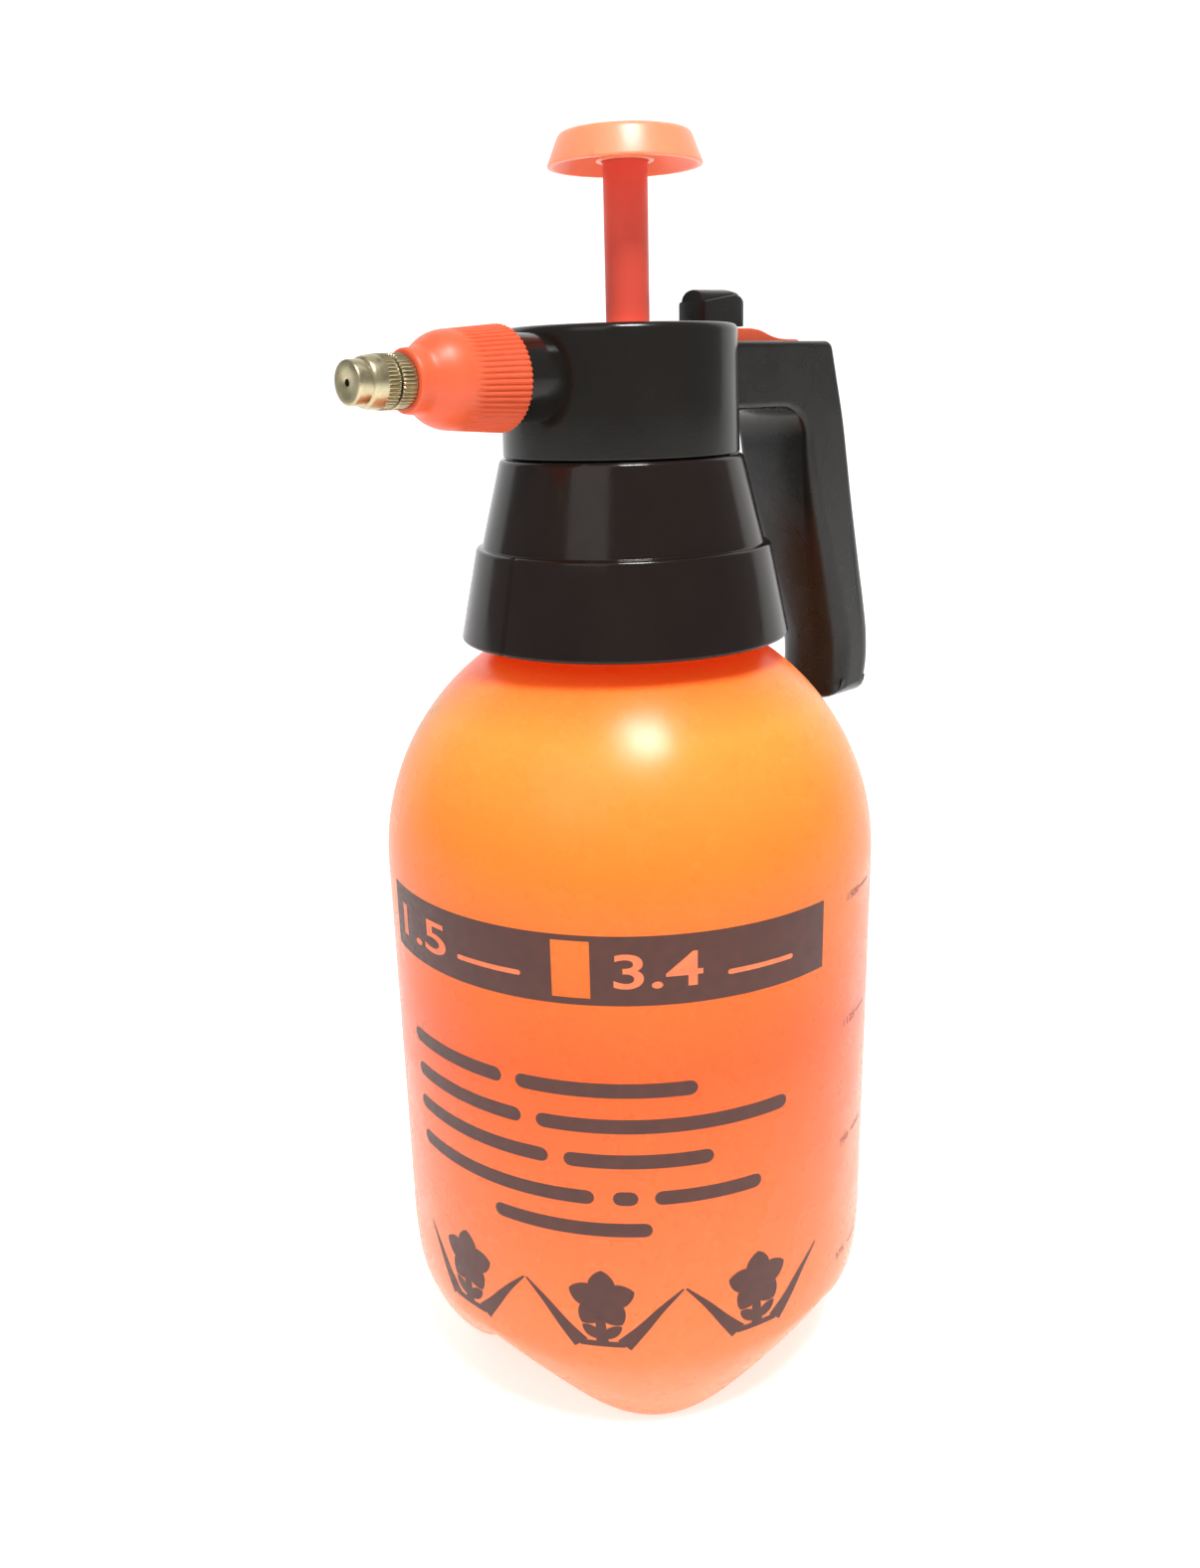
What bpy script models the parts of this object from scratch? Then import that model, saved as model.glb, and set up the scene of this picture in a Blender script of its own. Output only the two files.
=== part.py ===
"""Hand-pumped pressure sprayer: bottle, screw collar, pump, trigger head, valve and brass nozzle.

Sizes are in millimetres and are scaled to metres when a mesh is made. Heights run from the feet, and every
other distance is measured from the bottle's axis. The nozzle points to -Y and the handle is on the +Y side.
"""

import math

import bmesh
import bpy
from mathutils import Matrix, Vector

MM = 0.001
GAP = 0.3  # clearance between pieces that touch

# The bottle's axis lies a little forward of the origin, so that nozzle and handle reach equally far from it.
AXIS_Y = -9.0

# Bottle
BOTTLE_RADIUS = 61.0
BOTTLE_WALL = 1.5
DOME_START = 137.7  # the dome is half a ball over this height
FOOT_COUNT = 4
FOOT_AZIMUTH = 51.0
FOOT_FULLNESS = 0.4  # below 1 the feet are wide and the valleys between them narrow
NECK_RADIUS = 26.6
THREAD_RADIUS = 28.2
NECK_START = 194.5
NECK_TOP = 221.0

# Screw collar, wide part and upper part
COLLAR_BOTTOM = 192.3
COLLAR_STEP = 213.7
COLLAR_TOP = 234.0
COLLAR_WALL = 2.2
SLEEVE_BOTTOM = 199.0  # the inner sleeve that grips the neck

# Head
HEAD_TOP = 262.6
HEAD_RADIUS_LOW = 27.7
HEAD_RADIUS_TOP = 27.0
HEAD_CAVITY = 24.9
HEAD_CEILING = 258.8
SKIRT_OUTER = 25.4
SKIRT_INNER = 23.8
FLANGE_RADIUS = 28.0
FLANGE_BOTTOM = 223.6
FLANGE_TOP = 226.6

# Handle
HANDLE_HALF_WIDTH = 12.0
ARM_TOP = 259.0
ARM_UNDERSIDE = 243.0

# Pump
PUMP_Y = 3.0
CYLINDER_OUTER = 11.0
CYLINDER_BORE = 9.5
CYLINDER_FOOT = 158.0
CYLINDER_TOP = 240.0
ROD_RADIUS = 5.0
PISTON_BOTTOM = 203.5
PISTON_TOP = 215.5
KNOB_RIM_RADIUS = 17.5
KNOB_TOP_RADIUS = 14.4
KNOB_RIM = 296.0
KNOB_TOP = 303.0

# Valve behind the pump
VALVE_Y = 19.3
VALVE_OUTER = 4.8
TUBE_OUTER = 3.0
TUBE_BORE = 2.0
TUBE_FOOT = 17.0
CUP_FLOOR = 230.6
SEAT_HEIGHT = 241.0

# Nozzle, measured forwards from the bottle's axis
NOZZLE_HEIGHT = 251.8
SPOUT_RADIUS = 9.3
SPOUT_END = 35.8
NIPPLE_RADIUS = 7.2
NIPPLE_END = 48.5

# Thumb lever
LEVER_HALF_WIDTH = 5.0
LEVER_PIVOT = (57.0, 256.6)
LEVER_PIN_RADIUS = 1.5
CHANNEL_HALF_WIDTH = 5.8


def clear_scene():
    for obj in list(bpy.data.objects):
        bpy.data.objects.remove(obj, do_unlink=True)


def material(name, colour, roughness, metallic=0.0):
    made = bpy.data.materials.new(name)
    made.use_nodes = True
    shader = made.node_tree.nodes["Principled BSDF"]
    shader.inputs["Base Color"].default_value = (*colour, 1.0)
    shader.inputs["Roughness"].default_value = roughness
    shader.inputs["Metallic"].default_value = metallic
    return made


def add_object(name, mesh_data, look=None):
    """Puts a bmesh, made in millimetres, into the scene under the assembly's empty."""
    bmesh.ops.scale(mesh_data, vec=(MM, MM, MM), verts=mesh_data.verts)
    bmesh.ops.recalc_face_normals(mesh_data, faces=mesh_data.faces)
    mesh = bpy.data.meshes.new(name)
    mesh_data.to_mesh(mesh)
    mesh_data.free()
    mesh.shade_smooth()
    mesh.set_sharp_from_angle(angle=math.radians(35.0))
    obj = bpy.data.objects.new(name, mesh)
    bpy.context.scene.collection.objects.link(obj)
    obj.parent = ASSEMBLY
    if look:
        mesh.materials.append(look)
    return obj


def place(obj, y=0.0, z=0.0):
    """Moves a piece that was modelled round its own axis to that axis's place."""
    obj.location = (0.0, y * MM, z * MM)
    return obj


def point_forward(obj, height):
    """Turns a piece modelled along +Z so that it points to -Y at the given height."""
    obj.rotation_euler = (math.radians(90.0), 0.0, 0.0)
    obj.location = (0.0, 0.0, height * MM)
    return obj


def turned(name, outline, look=None, steps=48):
    """A lathe shape round Z from a closed outline of (radius, height) points."""
    made = bmesh.new()
    points = [made.verts.new((radius, 0.0, height)) for radius, height in outline]
    on_axis = outline[0][0] == 0.0 and outline[-1][0] == 0.0
    edges = [made.edges.new(pair) for pair in zip(points, points[1:])]
    if not on_axis:
        edges.append(made.edges.new((points[-1], points[0])))
    bmesh.ops.spin(
        made, geom=points + edges, cent=(0, 0, 0), axis=(0, 0, 1), angle=math.tau, steps=steps, use_merge=True
    )
    bmesh.ops.remove_doubles(made, verts=made.verts, dist=1e-4)
    made.normal_update()
    middles = [vert for vert in made.verts if vert.co.xy.length < 1e-4]
    flat = [vert for vert in middles if all(abs(face.normal.z) > 0.9999 for face in vert.link_faces)]
    bmesh.ops.dissolve_verts(made, verts=flat)
    return add_object(name, made, look)


def disc_outline(radius, low, high, bore=0.0):
    return [(bore, low), (radius, low), (radius, high), (bore, high)]


def side_profile(name, outline, half_width, look=None):
    """A plate whose (y, z) outline is extruded across X."""
    made = bmesh.new()
    face = made.faces.new([made.verts.new((-half_width, y, z)) for y, z in outline])
    moved = bmesh.ops.extrude_face_region(made, geom=[face])["geom"]
    corners = [item for item in moved if isinstance(item, bmesh.types.BMVert)]
    bmesh.ops.translate(made, vec=(2 * half_width, 0, 0), verts=corners)
    return add_object(name, made, look)


def block(name, low, high):
    made = bmesh.new()
    bmesh.ops.create_cube(made, size=1.0)
    size = [b - a for a, b in zip(low, high)]
    middle = [(a + b) / 2 for a, b in zip(low, high)]
    bmesh.ops.scale(made, vec=size, verts=made.verts)
    bmesh.ops.translate(made, vec=middle, verts=made.verts)
    return add_object(name, made)


def skinned(name, rings, look=None, closed_loop=False):
    """A closed skin over rings of points: the end rings are capped unless the rings form a loop."""
    made = bmesh.new()
    loops = [[made.verts.new(point) for point in ring] for ring in rings]
    pairs = list(zip(loops, loops[1:]))
    if closed_loop:
        pairs.append((loops[-1], loops[0]))
    for first, second in pairs:
        count = len(first)
        for i in range(count):
            j = (i + 1) % count
            made.faces.new((first[i], first[j], second[j], second[i]))
    if not closed_loop:
        made.faces.new(loops[0])
        made.faces.new(loops[-1])
    return add_object(name, made, look)


def as_helper(obj):
    obj.hide_render = True
    obj.display_type = "WIRE"
    return obj


def combine(obj, other, operation):
    step = obj.modifiers.new(f"{operation.lower()} {other.name}", "BOOLEAN")
    step.operation = operation
    step.solver = "EXACT"
    step.object = as_helper(other)


def cut(obj, *cutters):
    for cutter in cutters:
        combine(obj, cutter, "DIFFERENCE")


def join(obj, *others):
    for other in others:
        combine(obj, other, "UNION")


# ---------------------------------------------------------------- bottle


def foot_profile():
    """(radius, height) from the wall down over the bottom of a foot to the middle of the base."""
    outside = [(61.0, 34.0), (60.3, 27.5), (58.5, 21.2), (55.6, 14.0), (52.2, 7.3), (48.8, 1.9), (46.4, -0.5)]
    inside = [(38.5, -0.5), (30.0, 3.8), (20.0, 9.8), (9.0, 12.0), (0.0, 12.4)]
    return outside + inside


def valley_profile():
    """The same points between two feet."""
    outside = [(61.0, 34.0), (60.6, 29.2), (59.4, 26.2), (57.0, 23.8)]
    outside += [(53.4, 21.6), (49.2, 20.0), (45.4, 19.0)]
    inside = [(37.5, 17.6), (29.0, 16.0), (19.5, 14.0), (9.0, 12.8), (0.0, 12.4)]
    return outside + inside


def shoulder_profile():
    """(radius, height) from the wall over the dome to the neck's rim, with the thread as one bead."""
    points = []
    for degrees in (0, 11, 22, 33, 44, 54, 62):
        turn = math.radians(degrees)
        points.append((BOTTLE_RADIUS * math.cos(turn), DOME_START + BOTTLE_RADIUS * math.sin(turn)))
    bead = 209.0
    points += [(NECK_RADIUS, NECK_START), (NECK_RADIUS, bead - 1.8), (THREAD_RADIUS, bead - 0.5)]
    points += [(THREAD_RADIUS, bead + 0.5), (NECK_RADIUS, bead + 1.8), (NECK_RADIUS, NECK_TOP)]
    return points


def bottle(look):
    steps = 12 * FOOT_COUNT
    rings = []
    for radius, height in reversed(shoulder_profile()):
        rings.append([(radius, height)] * steps)
    for foot, valley in zip(foot_profile(), valley_profile()):
        ring = []
        for i in range(steps):
            lobe = FOOT_COUNT * math.radians(360.0 * i / steps - FOOT_AZIMUTH)
            share = (0.5 + 0.5 * math.cos(lobe)) ** FOOT_FULLNESS
            radius = valley[0] + (foot[0] - valley[0]) * share
            height = valley[1] + (foot[1] - valley[1]) * share
            ring.append((radius, max(height, 0.0)))
        rings.append(ring)
    made = bmesh.new()
    loops = []
    for ring in rings[:-1]:
        turns = [math.tau * i / steps for i in range(steps)]
        points = [(r * math.cos(t), r * math.sin(t), z) for t, (r, z) in zip(turns, ring)]
        loops.append([made.verts.new(point) for point in points])
    middle = made.verts.new((0.0, 0.0, rings[-1][0][1]))
    for first, second in zip(loops, loops[1:]):
        for i in range(steps):
            j = (i + 1) % steps
            made.faces.new((first[j], first[i], second[i], second[j]))
    for i in range(steps):
        made.faces.new((loops[-1][(i + 1) % steps], loops[-1][i], middle))
    obj = add_object("bottle", made, look)
    shell = obj.modifiers.new("wall", "SOLIDIFY")
    shell.thickness = BOTTLE_WALL * MM
    shell.offset = -1.0
    shell.use_even_offset = True
    return obj


def neck_gasket(look):
    low = NECK_TOP + GAP
    return turned("neck_gasket", disc_outline(THREAD_RADIUS - 0.6, low, low + 2.0, bore=24.6), look)


# ---------------------------------------------------------------- collar


def collar_nut(look):
    """A skirt outside, a sleeve over the neck inside, and a lip that clamps the head's flange."""
    lip = SKIRT_OUTER + 0.4
    sleeve = THREAD_RADIUS + GAP
    outline = [
        (lip, COLLAR_TOP),
        (lip, FLANGE_TOP + GAP),
        (sleeve, FLANGE_TOP + GAP),
        (sleeve, SLEEVE_BOTTOM),
        (sleeve + 1.8, SLEEVE_BOTTOM),
        (sleeve + 2.2, COLLAR_STEP - 3.0),
        (35.0 - COLLAR_WALL, COLLAR_STEP - 3.0),
        (39.6 - COLLAR_WALL, COLLAR_BOTTOM),
        (39.3, COLLAR_BOTTOM),
        (39.6, COLLAR_BOTTOM + 0.5),
        (35.2, COLLAR_STEP - 1.2),
        (34.4, COLLAR_STEP - 0.2),
        (33.7, COLLAR_STEP),
        (29.4, COLLAR_TOP - 1.4),
        (28.4, COLLAR_TOP),
    ]
    return turned("collar_nut", outline, look, steps=48)


# ---------------------------------------------------------------- head


def grip_rings():
    """Rounded sections of the grip: height, front and rear reach, half width and squareness."""
    sections = (
        (258.7, 52.0, 65.2, 11.3, 5.0),
        (257.4, 52.0, 67.2, 11.8, 5.0),
        (252.0, 52.0, 69.8, 11.8, 5.0),
        (245.0, 53.0, 71.8, 11.8, 5.0),
        (236.0, 56.4, 74.2, 11.7, 4.8),
        (222.0, 59.5, 78.2, 11.7, 4.4),
        (204.0, 64.9, 84.3, 11.5, 3.4),
        (190.0, 69.4, 89.3, 11.2, 2.8),
        (178.0, 72.8, 92.9, 11.0, 2.5),
        (169.0, 73.3, 92.5, 10.9, 2.4),
        (163.4, 73.5, 91.4, 10.6, 2.4),
        (161.8, 75.0, 89.6, 9.4, 2.4),
    )
    count = 20
    rings = []
    for height, front, rear, half_width, square in sections:
        ring = []
        for i in range(count):
            turn = math.tau * (i + 0.5) / count
            across, along = math.cos(turn), math.sin(turn)
            x = half_width * math.copysign(abs(across) ** (2 / square), across)
            y = (front + rear) / 2 + (rear - front) / 2 * math.copysign(abs(along) ** (2 / square), along)
            ring.append((x, y, height))
        rings.append(ring)
    return rings


def head_cavity():
    """The hollow of the head, open at the bottom of its skirt."""
    low = FLANGE_BOTTOM - 2.0
    outline = [(0.0, low), (SKIRT_INNER, low), (SKIRT_INNER, 235.5), (HEAD_CAVITY - 0.3, 236.8)]
    outline += [(HEAD_CAVITY, HEAD_CEILING), (0.0, HEAD_CEILING)]
    return turned("head_cavity", outline)


def head_body(look):
    outline = [
        (0.0, FLANGE_BOTTOM),
        (FLANGE_RADIUS, FLANGE_BOTTOM),
        (FLANGE_RADIUS, FLANGE_TOP),
        (SKIRT_OUTER, FLANGE_TOP),
        (SKIRT_OUTER, COLLAR_TOP + GAP),
        (HEAD_RADIUS_LOW, COLLAR_TOP + GAP),
        (HEAD_RADIUS_TOP, HEAD_TOP - 1.2),
        (HEAD_RADIUS_TOP - 1.2, HEAD_TOP),
        (0.0, HEAD_TOP),
    ]
    obj = turned("head_body", outline, look, steps=48)
    arm = [
        (20.0, ARM_TOP),
        (62.4, ARM_TOP),
        (62.4, 236.4),
        (59.6, 236.4),
        (56.0, 240.2),
        (51.0, 242.4),
        (44.0, ARM_UNDERSIDE),
        (20.0, ARM_UNDERSIDE),
    ]
    spout = [(0.0, 20.0), (SPOUT_RADIUS, 20.0)]
    spout += [(SPOUT_RADIUS, SPOUT_END - 0.5), (SPOUT_RADIUS - 0.5, SPOUT_END)]
    spout += [(NIPPLE_RADIUS, SPOUT_END), (NIPPLE_RADIUS, NIPPLE_END), (0.0, NIPPLE_END)]
    spout_solid = point_forward(turned("spout", spout, steps=36), NOZZLE_HEIGHT)
    join(obj, side_profile("arm", arm, HANDLE_HALF_WIDTH), skinned("grip", grip_rings()), spout_solid)
    bore = [(0.0, 18.0), (2.6, 18.0), (2.6, 31.0), (2.0, 31.0), (2.0, 60.0), (0.0, 60.0)]
    spout_bore = point_forward(turned("spout_bore", bore, steps=24), NOZZLE_HEIGHT)
    bush_hole = place(turned("bush_hole", disc_outline(7.9, 250.0, 270.0), steps=34), y=PUMP_Y)
    channel = block("lever_channel", (-CHANNEL_HALF_WIDTH, 20.0, 250.6), (CHANNEL_HALF_WIDTH, 62.2, 258.2))
    slot = block("lever_slot", (-6.0, 23.4, 257.4), (6.0, 62.2, 270.0))
    pin_hole = turned("lever_pin_hole", disc_outline(LEVER_PIN_RADIUS + GAP, -20.0, 8.0), steps=16)
    pin_hole.rotation_euler = (0.0, math.radians(90.0), 0.0)
    place(pin_hole, *LEVER_PIVOT)
    cut(obj, head_cavity(), spout_bore, bush_hole, channel, slot, pin_hole)
    return obj


# ---------------------------------------------------------------- pump


def pump_cylinder(look):
    outline = [
        (2.7, CYLINDER_FOOT),
        (CYLINDER_OUTER - 1.0, CYLINDER_FOOT),
        (CYLINDER_OUTER, CYLINDER_FOOT + 1.0),
        (CYLINDER_OUTER, CYLINDER_TOP),
        (CYLINDER_BORE, CYLINDER_TOP),
        (CYLINDER_BORE, CYLINDER_FOOT + 2.5),
        (2.7, CYLINDER_FOOT + 2.5),
    ]
    obj = place(turned("pump_cylinder", outline, look, steps=32), y=PUMP_Y)
    disc = disc_outline(SKIRT_INNER - GAP, FLANGE_BOTTOM, FLANGE_TOP)
    flange = turned("cylinder_flange", disc, steps=48)
    bore = place(turned("cylinder_bore", disc_outline(CYLINDER_BORE, 200.0, 236.0), steps=32), y=PUMP_Y)
    tube_hole = place(turned("tube_hole", disc_outline(TUBE_OUTER + GAP, 215.0, 235.0), steps=20), y=VALVE_Y)
    cut(flange, bore, tube_hole)
    join(obj, flange)
    for i in range(4):
        turn = math.radians(90.0 * i)
        vent = turned(f"air_hole_{i}", disc_outline(1.0, CYLINDER_FOOT - 2.0, CYLINDER_FOOT + 5.0), steps=12)
        vent.location = (5.6 * math.cos(turn) * MM, (PUMP_Y + 5.6 * math.sin(turn)) * MM, 0.0)
        cut(obj, vent)
    return obj


def check_valve(look):
    """A rubber umbrella under the cylinder's foot: its stem passes the foot and a bulb holds it."""
    foot = CYLINDER_FOOT
    outline = [
        (0.0, foot - 2.4),
        (3.0, foot - 2.1),
        (7.6, foot - 1.1),
        (8.0, foot - GAP),
        (2.3, foot - GAP),
        (2.3, foot + 2.5 + GAP),
        (3.6, foot + 2.5 + GAP),
        (2.6, foot + 4.2),
        (0.0, foot + 4.8),
    ]
    return place(turned("check_valve", outline, look, steps=20), y=PUMP_Y)


def cylinder_cap(look):
    low = 236.2
    outline = [
        (ROD_RADIUS + 0.5, low),
        (CYLINDER_BORE - GAP, low),
        (CYLINDER_BORE - GAP, CYLINDER_TOP + GAP),
        (CYLINDER_OUTER, CYLINDER_TOP + GAP),
        (CYLINDER_OUTER, CYLINDER_TOP + 2.3),
        (ROD_RADIUS + 0.5, CYLINDER_TOP + 2.3),
    ]
    obj = place(turned("cylinder_cap", outline, look, steps=32), y=PUMP_Y)
    for i in range(3):
        turn = math.radians(120.0 * i + 30.0)
        vent = turned(f"cap_vent_{i}", disc_outline(1.0, 230.0, 246.0), steps=12)
        vent.location = (7.4 * math.cos(turn) * MM, (PUMP_Y + 7.4 * math.sin(turn)) * MM, 0.0)
        cut(obj, vent)
    return obj


def rod_bush(look):
    low = HEAD_CEILING - 1.7
    outline = [
        (ROD_RADIUS + 0.1, low),
        (9.2, low),
        (9.2, HEAD_CEILING - GAP),
        (7.6, HEAD_CEILING - GAP),
        (7.6, HEAD_TOP - 0.2),
        (ROD_RADIUS + 0.1, HEAD_TOP - 0.2),
    ]
    return place(turned("rod_bush", outline, look, steps=28), y=PUMP_Y)


def pump_rod(look):
    outline = [(0.0, 207.6), (ROD_RADIUS, 207.6), (ROD_RADIUS, 301.2), (0.0, 301.2)]
    return place(turned("pump_rod", outline, look, steps=28), y=PUMP_Y)


def pump_knob(look):
    hub = 8.0
    outline = [
        (0.0, 301.6),
        (ROD_RADIUS + GAP, 301.6),
        (ROD_RADIUS + GAP, KNOB_RIM + 1.2),
        (hub, KNOB_RIM + 1.2),
        (hub, KNOB_TOP - 2.4),
        (KNOB_TOP_RADIUS - 2.2, KNOB_TOP - 2.4),
        (KNOB_RIM_RADIUS - 1.9, KNOB_RIM),
        (KNOB_RIM_RADIUS, KNOB_RIM),
        (KNOB_TOP_RADIUS, KNOB_TOP - 0.9),
        (KNOB_TOP_RADIUS - 1.0, KNOB_TOP),
        (0.0, KNOB_TOP),
    ]
    return place(turned("pump_knob", outline, look, steps=36), y=PUMP_Y)


def piston(look):
    groove_low, groove_high = PISTON_BOTTOM + 2.4, PISTON_BOTTOM + 6.0
    radius = CYLINDER_BORE - 0.5
    outline = [
        (0.0, PISTON_BOTTOM),
        (radius - 0.9, PISTON_BOTTOM),
        (radius, PISTON_BOTTOM + 0.9),
        (radius, groove_low),
        (radius - 2.1, groove_low),
        (radius - 2.1, groove_high),
        (radius, groove_high),
        (radius, PISTON_TOP),
        (ROD_RADIUS + GAP, PISTON_TOP),
        (ROD_RADIUS + GAP, 207.3),
        (0.0, 207.3),
    ]
    return place(turned("piston", outline, look, steps=24), y=PUMP_Y)


def piston_seal(look):
    low, high = PISTON_BOTTOM + 2.8, PISTON_BOTTOM + 5.6
    inner, outer = CYLINDER_BORE - 2.3, CYLINDER_BORE - 0.1
    outline = [(inner, low), (outer - 0.4, low), (outer, low + 1.4), (outer - 0.4, high), (inner, high)]
    return place(turned("piston_seal", outline, look, steps=24), y=PUMP_Y)


# ---------------------------------------------------------------- valve


def pickup_tube(look):
    outline = disc_outline(TUBE_OUTER, TUBE_FOOT + 1.0, 229.4, bore=TUBE_BORE)
    return place(turned("pickup_tube", outline, look, steps=20), y=VALVE_Y)


def strainer(look):
    """A slotted cup over the tube's foot."""
    wall = TUBE_OUTER + GAP
    outline = [
        (0.0, TUBE_FOOT),
        (wall + 1.0, TUBE_FOOT),
        (wall + 1.0, TUBE_FOOT + 9.0),
        (wall, TUBE_FOOT + 9.0),
        (wall, TUBE_FOOT + 0.7),
        (0.0, TUBE_FOOT + 0.7),
    ]
    obj = place(turned("strainer", outline, look, steps=20), y=VALVE_Y)
    slot = block("strainer_slot", (-8.0, -0.5, TUBE_FOOT - 1.0), (8.0, 0.5, TUBE_FOOT + 3.0))
    cut(obj, place(slot, y=VALVE_Y))
    return obj


def valve_body(look):
    """The cup that holds spring and seal; the tube enters it from below."""
    outline = [
        (1.6, CUP_FLOOR - 0.9),
        (TUBE_OUTER + GAP, CUP_FLOOR - 0.9),
        (TUBE_OUTER + GAP, 227.4),
        (VALVE_OUTER - 0.7, 227.4),
        (VALVE_OUTER - 0.7, 236.4),
        (VALVE_OUTER, 237.2),
        (VALVE_OUTER, SEAT_HEIGHT - GAP),
        (3.4, SEAT_HEIGHT - GAP),
        (3.4, 236.2),
        (2.7, 235.4),
        (2.7, CUP_FLOOR),
        (1.6, CUP_FLOOR),
    ]
    return place(turned("valve_body", outline, look, steps=20), y=VALVE_Y)


def valve_cap(look):
    """Seat below, outlet chamber in the middle, open gland on top."""
    outline = [
        (1.9, SEAT_HEIGHT),
        (VALVE_OUTER, SEAT_HEIGHT),
        (VALVE_OUTER, 250.0),
        (3.2, 250.0),
        (3.2, SEAT_HEIGHT + 1.6),
        (1.9, SEAT_HEIGHT + 1.6),
    ]
    obj = place(turned("valve_cap", outline, look, steps=20), y=VALVE_Y)
    port = turned("valve_port", disc_outline(1.7, 0.0, 8.0), steps=16)
    port.rotation_euler = (0.0, math.radians(90.0), 0.0)
    cut(obj, place(port, VALVE_Y, 244.8))
    return obj


def pin_seal(look):
    outline = [(1.35, 247.6), (2.9, 247.6), (2.9, 249.6), (1.35, 249.6)]
    return place(turned("pin_seal", outline, look, steps=16), y=VALVE_Y)


def valve_pin(look):
    head = SEAT_HEIGHT - 4.0
    outline = [(0.0, head), (2.2, head), (2.2, head + 1.2), (1.1, head + 1.2), (1.1, 253.6), (0.0, 253.9)]
    return place(turned("valve_pin", outline, look, steps=16), y=VALVE_Y)


def valve_seal(look):
    low = SEAT_HEIGHT - 2.5
    outline = [(1.4, low), (2.9, low), (2.9, SEAT_HEIGHT - GAP), (1.4, SEAT_HEIGHT - GAP)]
    return place(turned("valve_seal", outline, look, steps=16), y=VALVE_Y)


def valve_spring(look):
    """A coil round the valve's axis, from the cup's floor to the pin's head."""
    wire, coil, turns = 0.3, 2.0, 4
    low, high = CUP_FLOOR + GAP + wire, SEAT_HEIGHT - 4.3 - wire
    steps_per_turn, sides = 12, 5
    rings = []
    total = turns * steps_per_turn
    for i in range(total + 1):
        turn = math.tau * i / steps_per_turn
        middle = Vector((coil * math.cos(turn), coil * math.sin(turn), low + (high - low) * i / total))
        outwards = Vector((math.cos(turn), math.sin(turn), 0.0))
        ring = []
        for k in range(sides):
            around = math.tau * k / sides
            ring.append(middle + wire * (math.cos(around) * outwards + math.sin(around) * Vector((0, 0, 1))))
        rings.append(ring)
    return place(skinned("valve_spring", rings, look), y=VALVE_Y)


def outlet_tube(look):
    """The tube that leads from the valve round the pump to the spout."""
    route = [
        (5.3, 19.3, 244.8),
        (12.5, 15.8, 245.6),
        (17.2, 7.0, 247.4),
        (17.6, -3.5, 249.4),
        (12.6, -12.5, 251.2),
        (4.0, -17.6, NOZZLE_HEIGHT),
        (0.0, -22.0, NOZZLE_HEIGHT),
        (0.0, -29.5, NOZZLE_HEIGHT),
    ]
    path = smooth_path([Vector(point) for point in route], 3)
    sides, outer, inner = 10, 2.2, 1.3
    rings = []
    for i, point in enumerate(path):
        along = (path[min(i + 1, len(path) - 1)] - path[max(i - 1, 0)]).normalized()
        across = along.cross(Vector((0, 0, 1))).normalized()
        upwards = across.cross(along)
        spokes = [math.tau * k / sides for k in range(sides)]
        rings.append([(point, math.cos(a) * across + math.sin(a) * upwards) for a in spokes])
    skins = []
    for radius in (outer, inner):
        skins.append([[point + radius * spoke for point, spoke in ring] for ring in rings])
    return skinned("outlet_tube", skins[0] + skins[1][::-1], look, closed_loop=True)


def smooth_path(points, steps):
    """Points on a Catmull-Rom curve through the given ones."""
    ends = [2 * points[0] - points[1]] + points + [2 * points[-1] - points[-2]]
    path = []
    for a, b, c, d in zip(ends, ends[1:], ends[2:], ends[3:]):
        for i in range(steps):
            t = i / steps
            linear = 2 * b + (c - a) * t
            curved = (2 * a - 5 * b + 4 * c - d) * t * t + (3 * b - a - 3 * c + d) * t**3
            path.append(0.5 * (linear + curved))
    path.append(points[-1])
    return path


# ---------------------------------------------------------------- nozzle


def nozzle_nut(look):
    """The ribbed nut that clamps the nozzle to the spout, along its own axis."""
    outline = [
        (NIPPLE_RADIUS + 0.4, 36.4),
        (10.8, 36.4),
        (11.1, 37.0),
        (10.0, 51.3),
        (9.4, 53.6),
        (8.2, 56.1),
        (6.8, 58.1),
        (6.5, 59.9),
        (6.2, 61.5),
        (4.9, 61.5),
        (4.9, 52.8),
        (NIPPLE_RADIUS + 0.4, 52.8),
    ]
    return point_forward(turned("nozzle_nut", outline, look, steps=36), NOZZLE_HEIGHT)


def spout_gasket(look):
    outline = disc_outline(7.0, NIPPLE_END + GAP, NIPPLE_END + 1.8, bore=2.0)
    return point_forward(turned("spout_gasket", outline, look, steps=24), NOZZLE_HEIGHT)


def nozzle_base(look):
    """The brass stem: flange in the nut, knurled ring outside it, then the thread for the tip."""
    outline = [
        (1.6, 50.6),
        (7.0, 50.6),
        (7.0, 52.5),
        (4.6, 52.5),
        (4.6, 61.8),
        (5.45, 61.8),
        (5.45, 65.2),
        (3.4, 65.2),
        (3.4, 67.2),
        (2.7, 67.2),
        (2.7, 68.6),
        (3.4, 68.6),
        (3.4, 70.2),
        (1.6, 70.2),
    ]
    return point_forward(turned("nozzle_base", outline, look, steps=28), NOZZLE_HEIGHT)


def nozzle_o_ring(look):
    outline = [(3.0, 67.4), (3.5, 67.4), (3.7, 67.9), (3.5, 68.4), (3.0, 68.4)]
    return point_forward(turned("nozzle_o_ring", outline, look, steps=20), NOZZLE_HEIGHT)


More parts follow.
